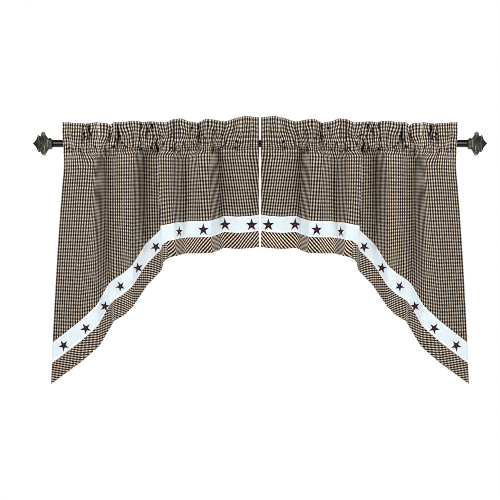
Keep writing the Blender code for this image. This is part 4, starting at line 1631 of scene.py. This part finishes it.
# Soft lights: power in watts, width, place and what they are turned to
LIGHTS = (
    ("side_softbox", 23.0, 0.9, (-1.5, -1.2, 0.35), (-0.36, 0.0, -0.30)),
    ("side_softbox", 23.0, 0.9, (1.5, -1.2, 0.35), (0.36, 0.0, -0.30)),
    ("front_softbox", 8.0, 1.2, (0.0, -2.4, 1.3), (0.0, 0.0, -0.25)),
    ("back_softbox", 44.0, 1.2, (0.0, 2.4, 1.0), (0.0, 0.0, -0.30)),
)
FLOOR_HEIGHT = -1.55
FLOOR_GLOW = 0.68
# Strength of the white surroundings as light and as background
WORLD_AS_LIGHT = 0.09
WORLD_AS_BACKGROUND = 1.0
WHITE = (1.0, 1.0, 1.0, 1.0)


class VALANCE_OT_studio(bpy.types.Operator):
    """Set out the pale floor, the soft lights and the camera"""

    bl_idname = "valance.studio"
    bl_label = "Studio"

    def execute(self, context):
        scene = context.scene
        self.floor(scene)
        self.world(scene)
        for light in LIGHTS:
            self.light(*light)
        view = bpy.data.cameras.new("camera")
        view.sensor_width = 36.0
        view.lens = view.sensor_width * CAMERA_DISTANCE / VIEW_WIDTH
        view.clip_end = 100.0
        camera = bpy.data.objects.new("camera", view)
        camera.location = (VIEW_CENTRE[0], -CAMERA_DISTANCE, VIEW_CENTRE[1])
        camera.rotation_euler = (math.pi / 2, 0.0, 0.0)
        scene.collection.objects.link(camera)
        scene.camera = camera
        scene.view_settings.view_transform = "Standard"
        scene.cycles.filter_width = 0.85
        return {"FINISHED"}

    def floor(self, scene):
        """A round pale floor, its height a function of the radius alone: flat."""
        angle = np.arange(64) * 2.0 * math.pi / 64
        radius = np.array([0.0, 1.0, 2.0, 3.0])[:, None]
        height = np.full((4, 64), FLOOR_HEIGHT)
        points = np.stack([radius * np.cos(angle), radius * np.sin(angle), height], axis=-1)
        w = Weaver("pale_floor")
        colour = scene.valance_colours.floor
        shade = w.blend(w.noise(w.solid_place(), 3.0), tinted(colour, 0.97), colour)
        glow = {"Emission_Color": WHITE, "Emission_Strength": FLOOR_GLOW}
        material = w.finish(shade, 0.8, None, 0.0, **glow)
        mesh = fill_mesh("floor", points.reshape(-1, 3), grid_faces(4, 64, wrap=True)[:, ::-1])
        close_poles(mesh, outwards=False)
        floor = as_piece("floor", mesh, material)
        scene.collection.objects.link(floor)

    def world(self, scene):
        """White surroundings, dimmer as light than as background."""
        world = bpy.data.worlds.new("studio")
        world.use_nodes = True
        tree = world.node_tree
        background = tree.nodes["Background"]
        background.inputs[0].default_value = WHITE
        seen = tree.nodes.new("ShaderNodeLightPath").outputs["Is Camera Ray"]
        strength = tree.nodes.new("ShaderNodeMapRange")
        strength.inputs[3].default_value = WORLD_AS_LIGHT
        strength.inputs[4].default_value = WORLD_AS_BACKGROUND
        tree.links.new(seen, strength.inputs[0])
        tree.links.new(strength.outputs[0], background.inputs[1])
        scene.world = world

    def light(self, name, power, size, place, aim):
        """A square soft light at place, turned to aim."""
        lamp = bpy.data.lights.new(name, "AREA")
        lamp.shape = "SQUARE"
        lamp.size = size
        lamp.energy = power
        holder = bpy.data.objects.new(name, lamp)
        holder.location = place
        holder.visible_camera = False
        holder.rotation_euler = (Vector(aim) - Vector(place)).to_track_quat("-Z", "Y").to_euler()
        bpy.context.scene.collection.objects.link(holder)


PIECES = (
    VALANCE_OT_rod,
    VALANCE_OT_finials,
    VALANCE_OT_checked_cloth,
    VALANCE_OT_star_bands,
    VALANCE_OT_borders,
    VALANCE_OT_stars,
    VALANCE_OT_stitching,
    VALANCE_OT_studio,
)


class VALANCE_PT_sidebar(bpy.types.Panel):
    """Buttons for each piece, with the sizes and colours under them"""

    bl_label = "Swag valance"
    bl_idname = "VALANCE_PT_sidebar"
    bl_space_type = "VIEW_3D"
    bl_region_type = "UI"
    bl_category = "Valance"

    def draw(self, context):
        for piece in PIECES:
            self.layout.operator(piece.bl_idname)
        for group in (context.scene.valance_sizes, context.scene.valance_colours):
            box = self.layout.box()
            for name in group.bl_rna.properties.keys():
                if name not in ("name", "rna_type"):
                    box.prop(group, name)


CLASSES = (ValanceSizes, ValanceColours, *PIECES, VALANCE_PT_sidebar)


def register():
    """Register the classes and the scene's settings."""
    for item in CLASSES:
        bpy.utils.register_class(item)
    bpy.types.Scene.valance_sizes = PointerProperty(type=ValanceSizes)
    bpy.types.Scene.valance_colours = PointerProperty(type=ValanceColours)


def unregister():
    """Take the settings and the classes away again."""
    del bpy.types.Scene.valance_colours
    del bpy.types.Scene.valance_sizes
    for item in reversed(CLASSES):
        bpy.utils.unregister_class(item)


def main():
    """Make every piece in order."""
    register()
    bpy.ops.valance.rod()
    bpy.ops.valance.finials()
    bpy.ops.valance.checked_cloth()
    bpy.ops.valance.star_bands()
    bpy.ops.valance.borders()
    bpy.ops.valance.stars()
    bpy.ops.valance.stitching()
    bpy.ops.valance.studio()


if __name__ == "__main__":
    main()
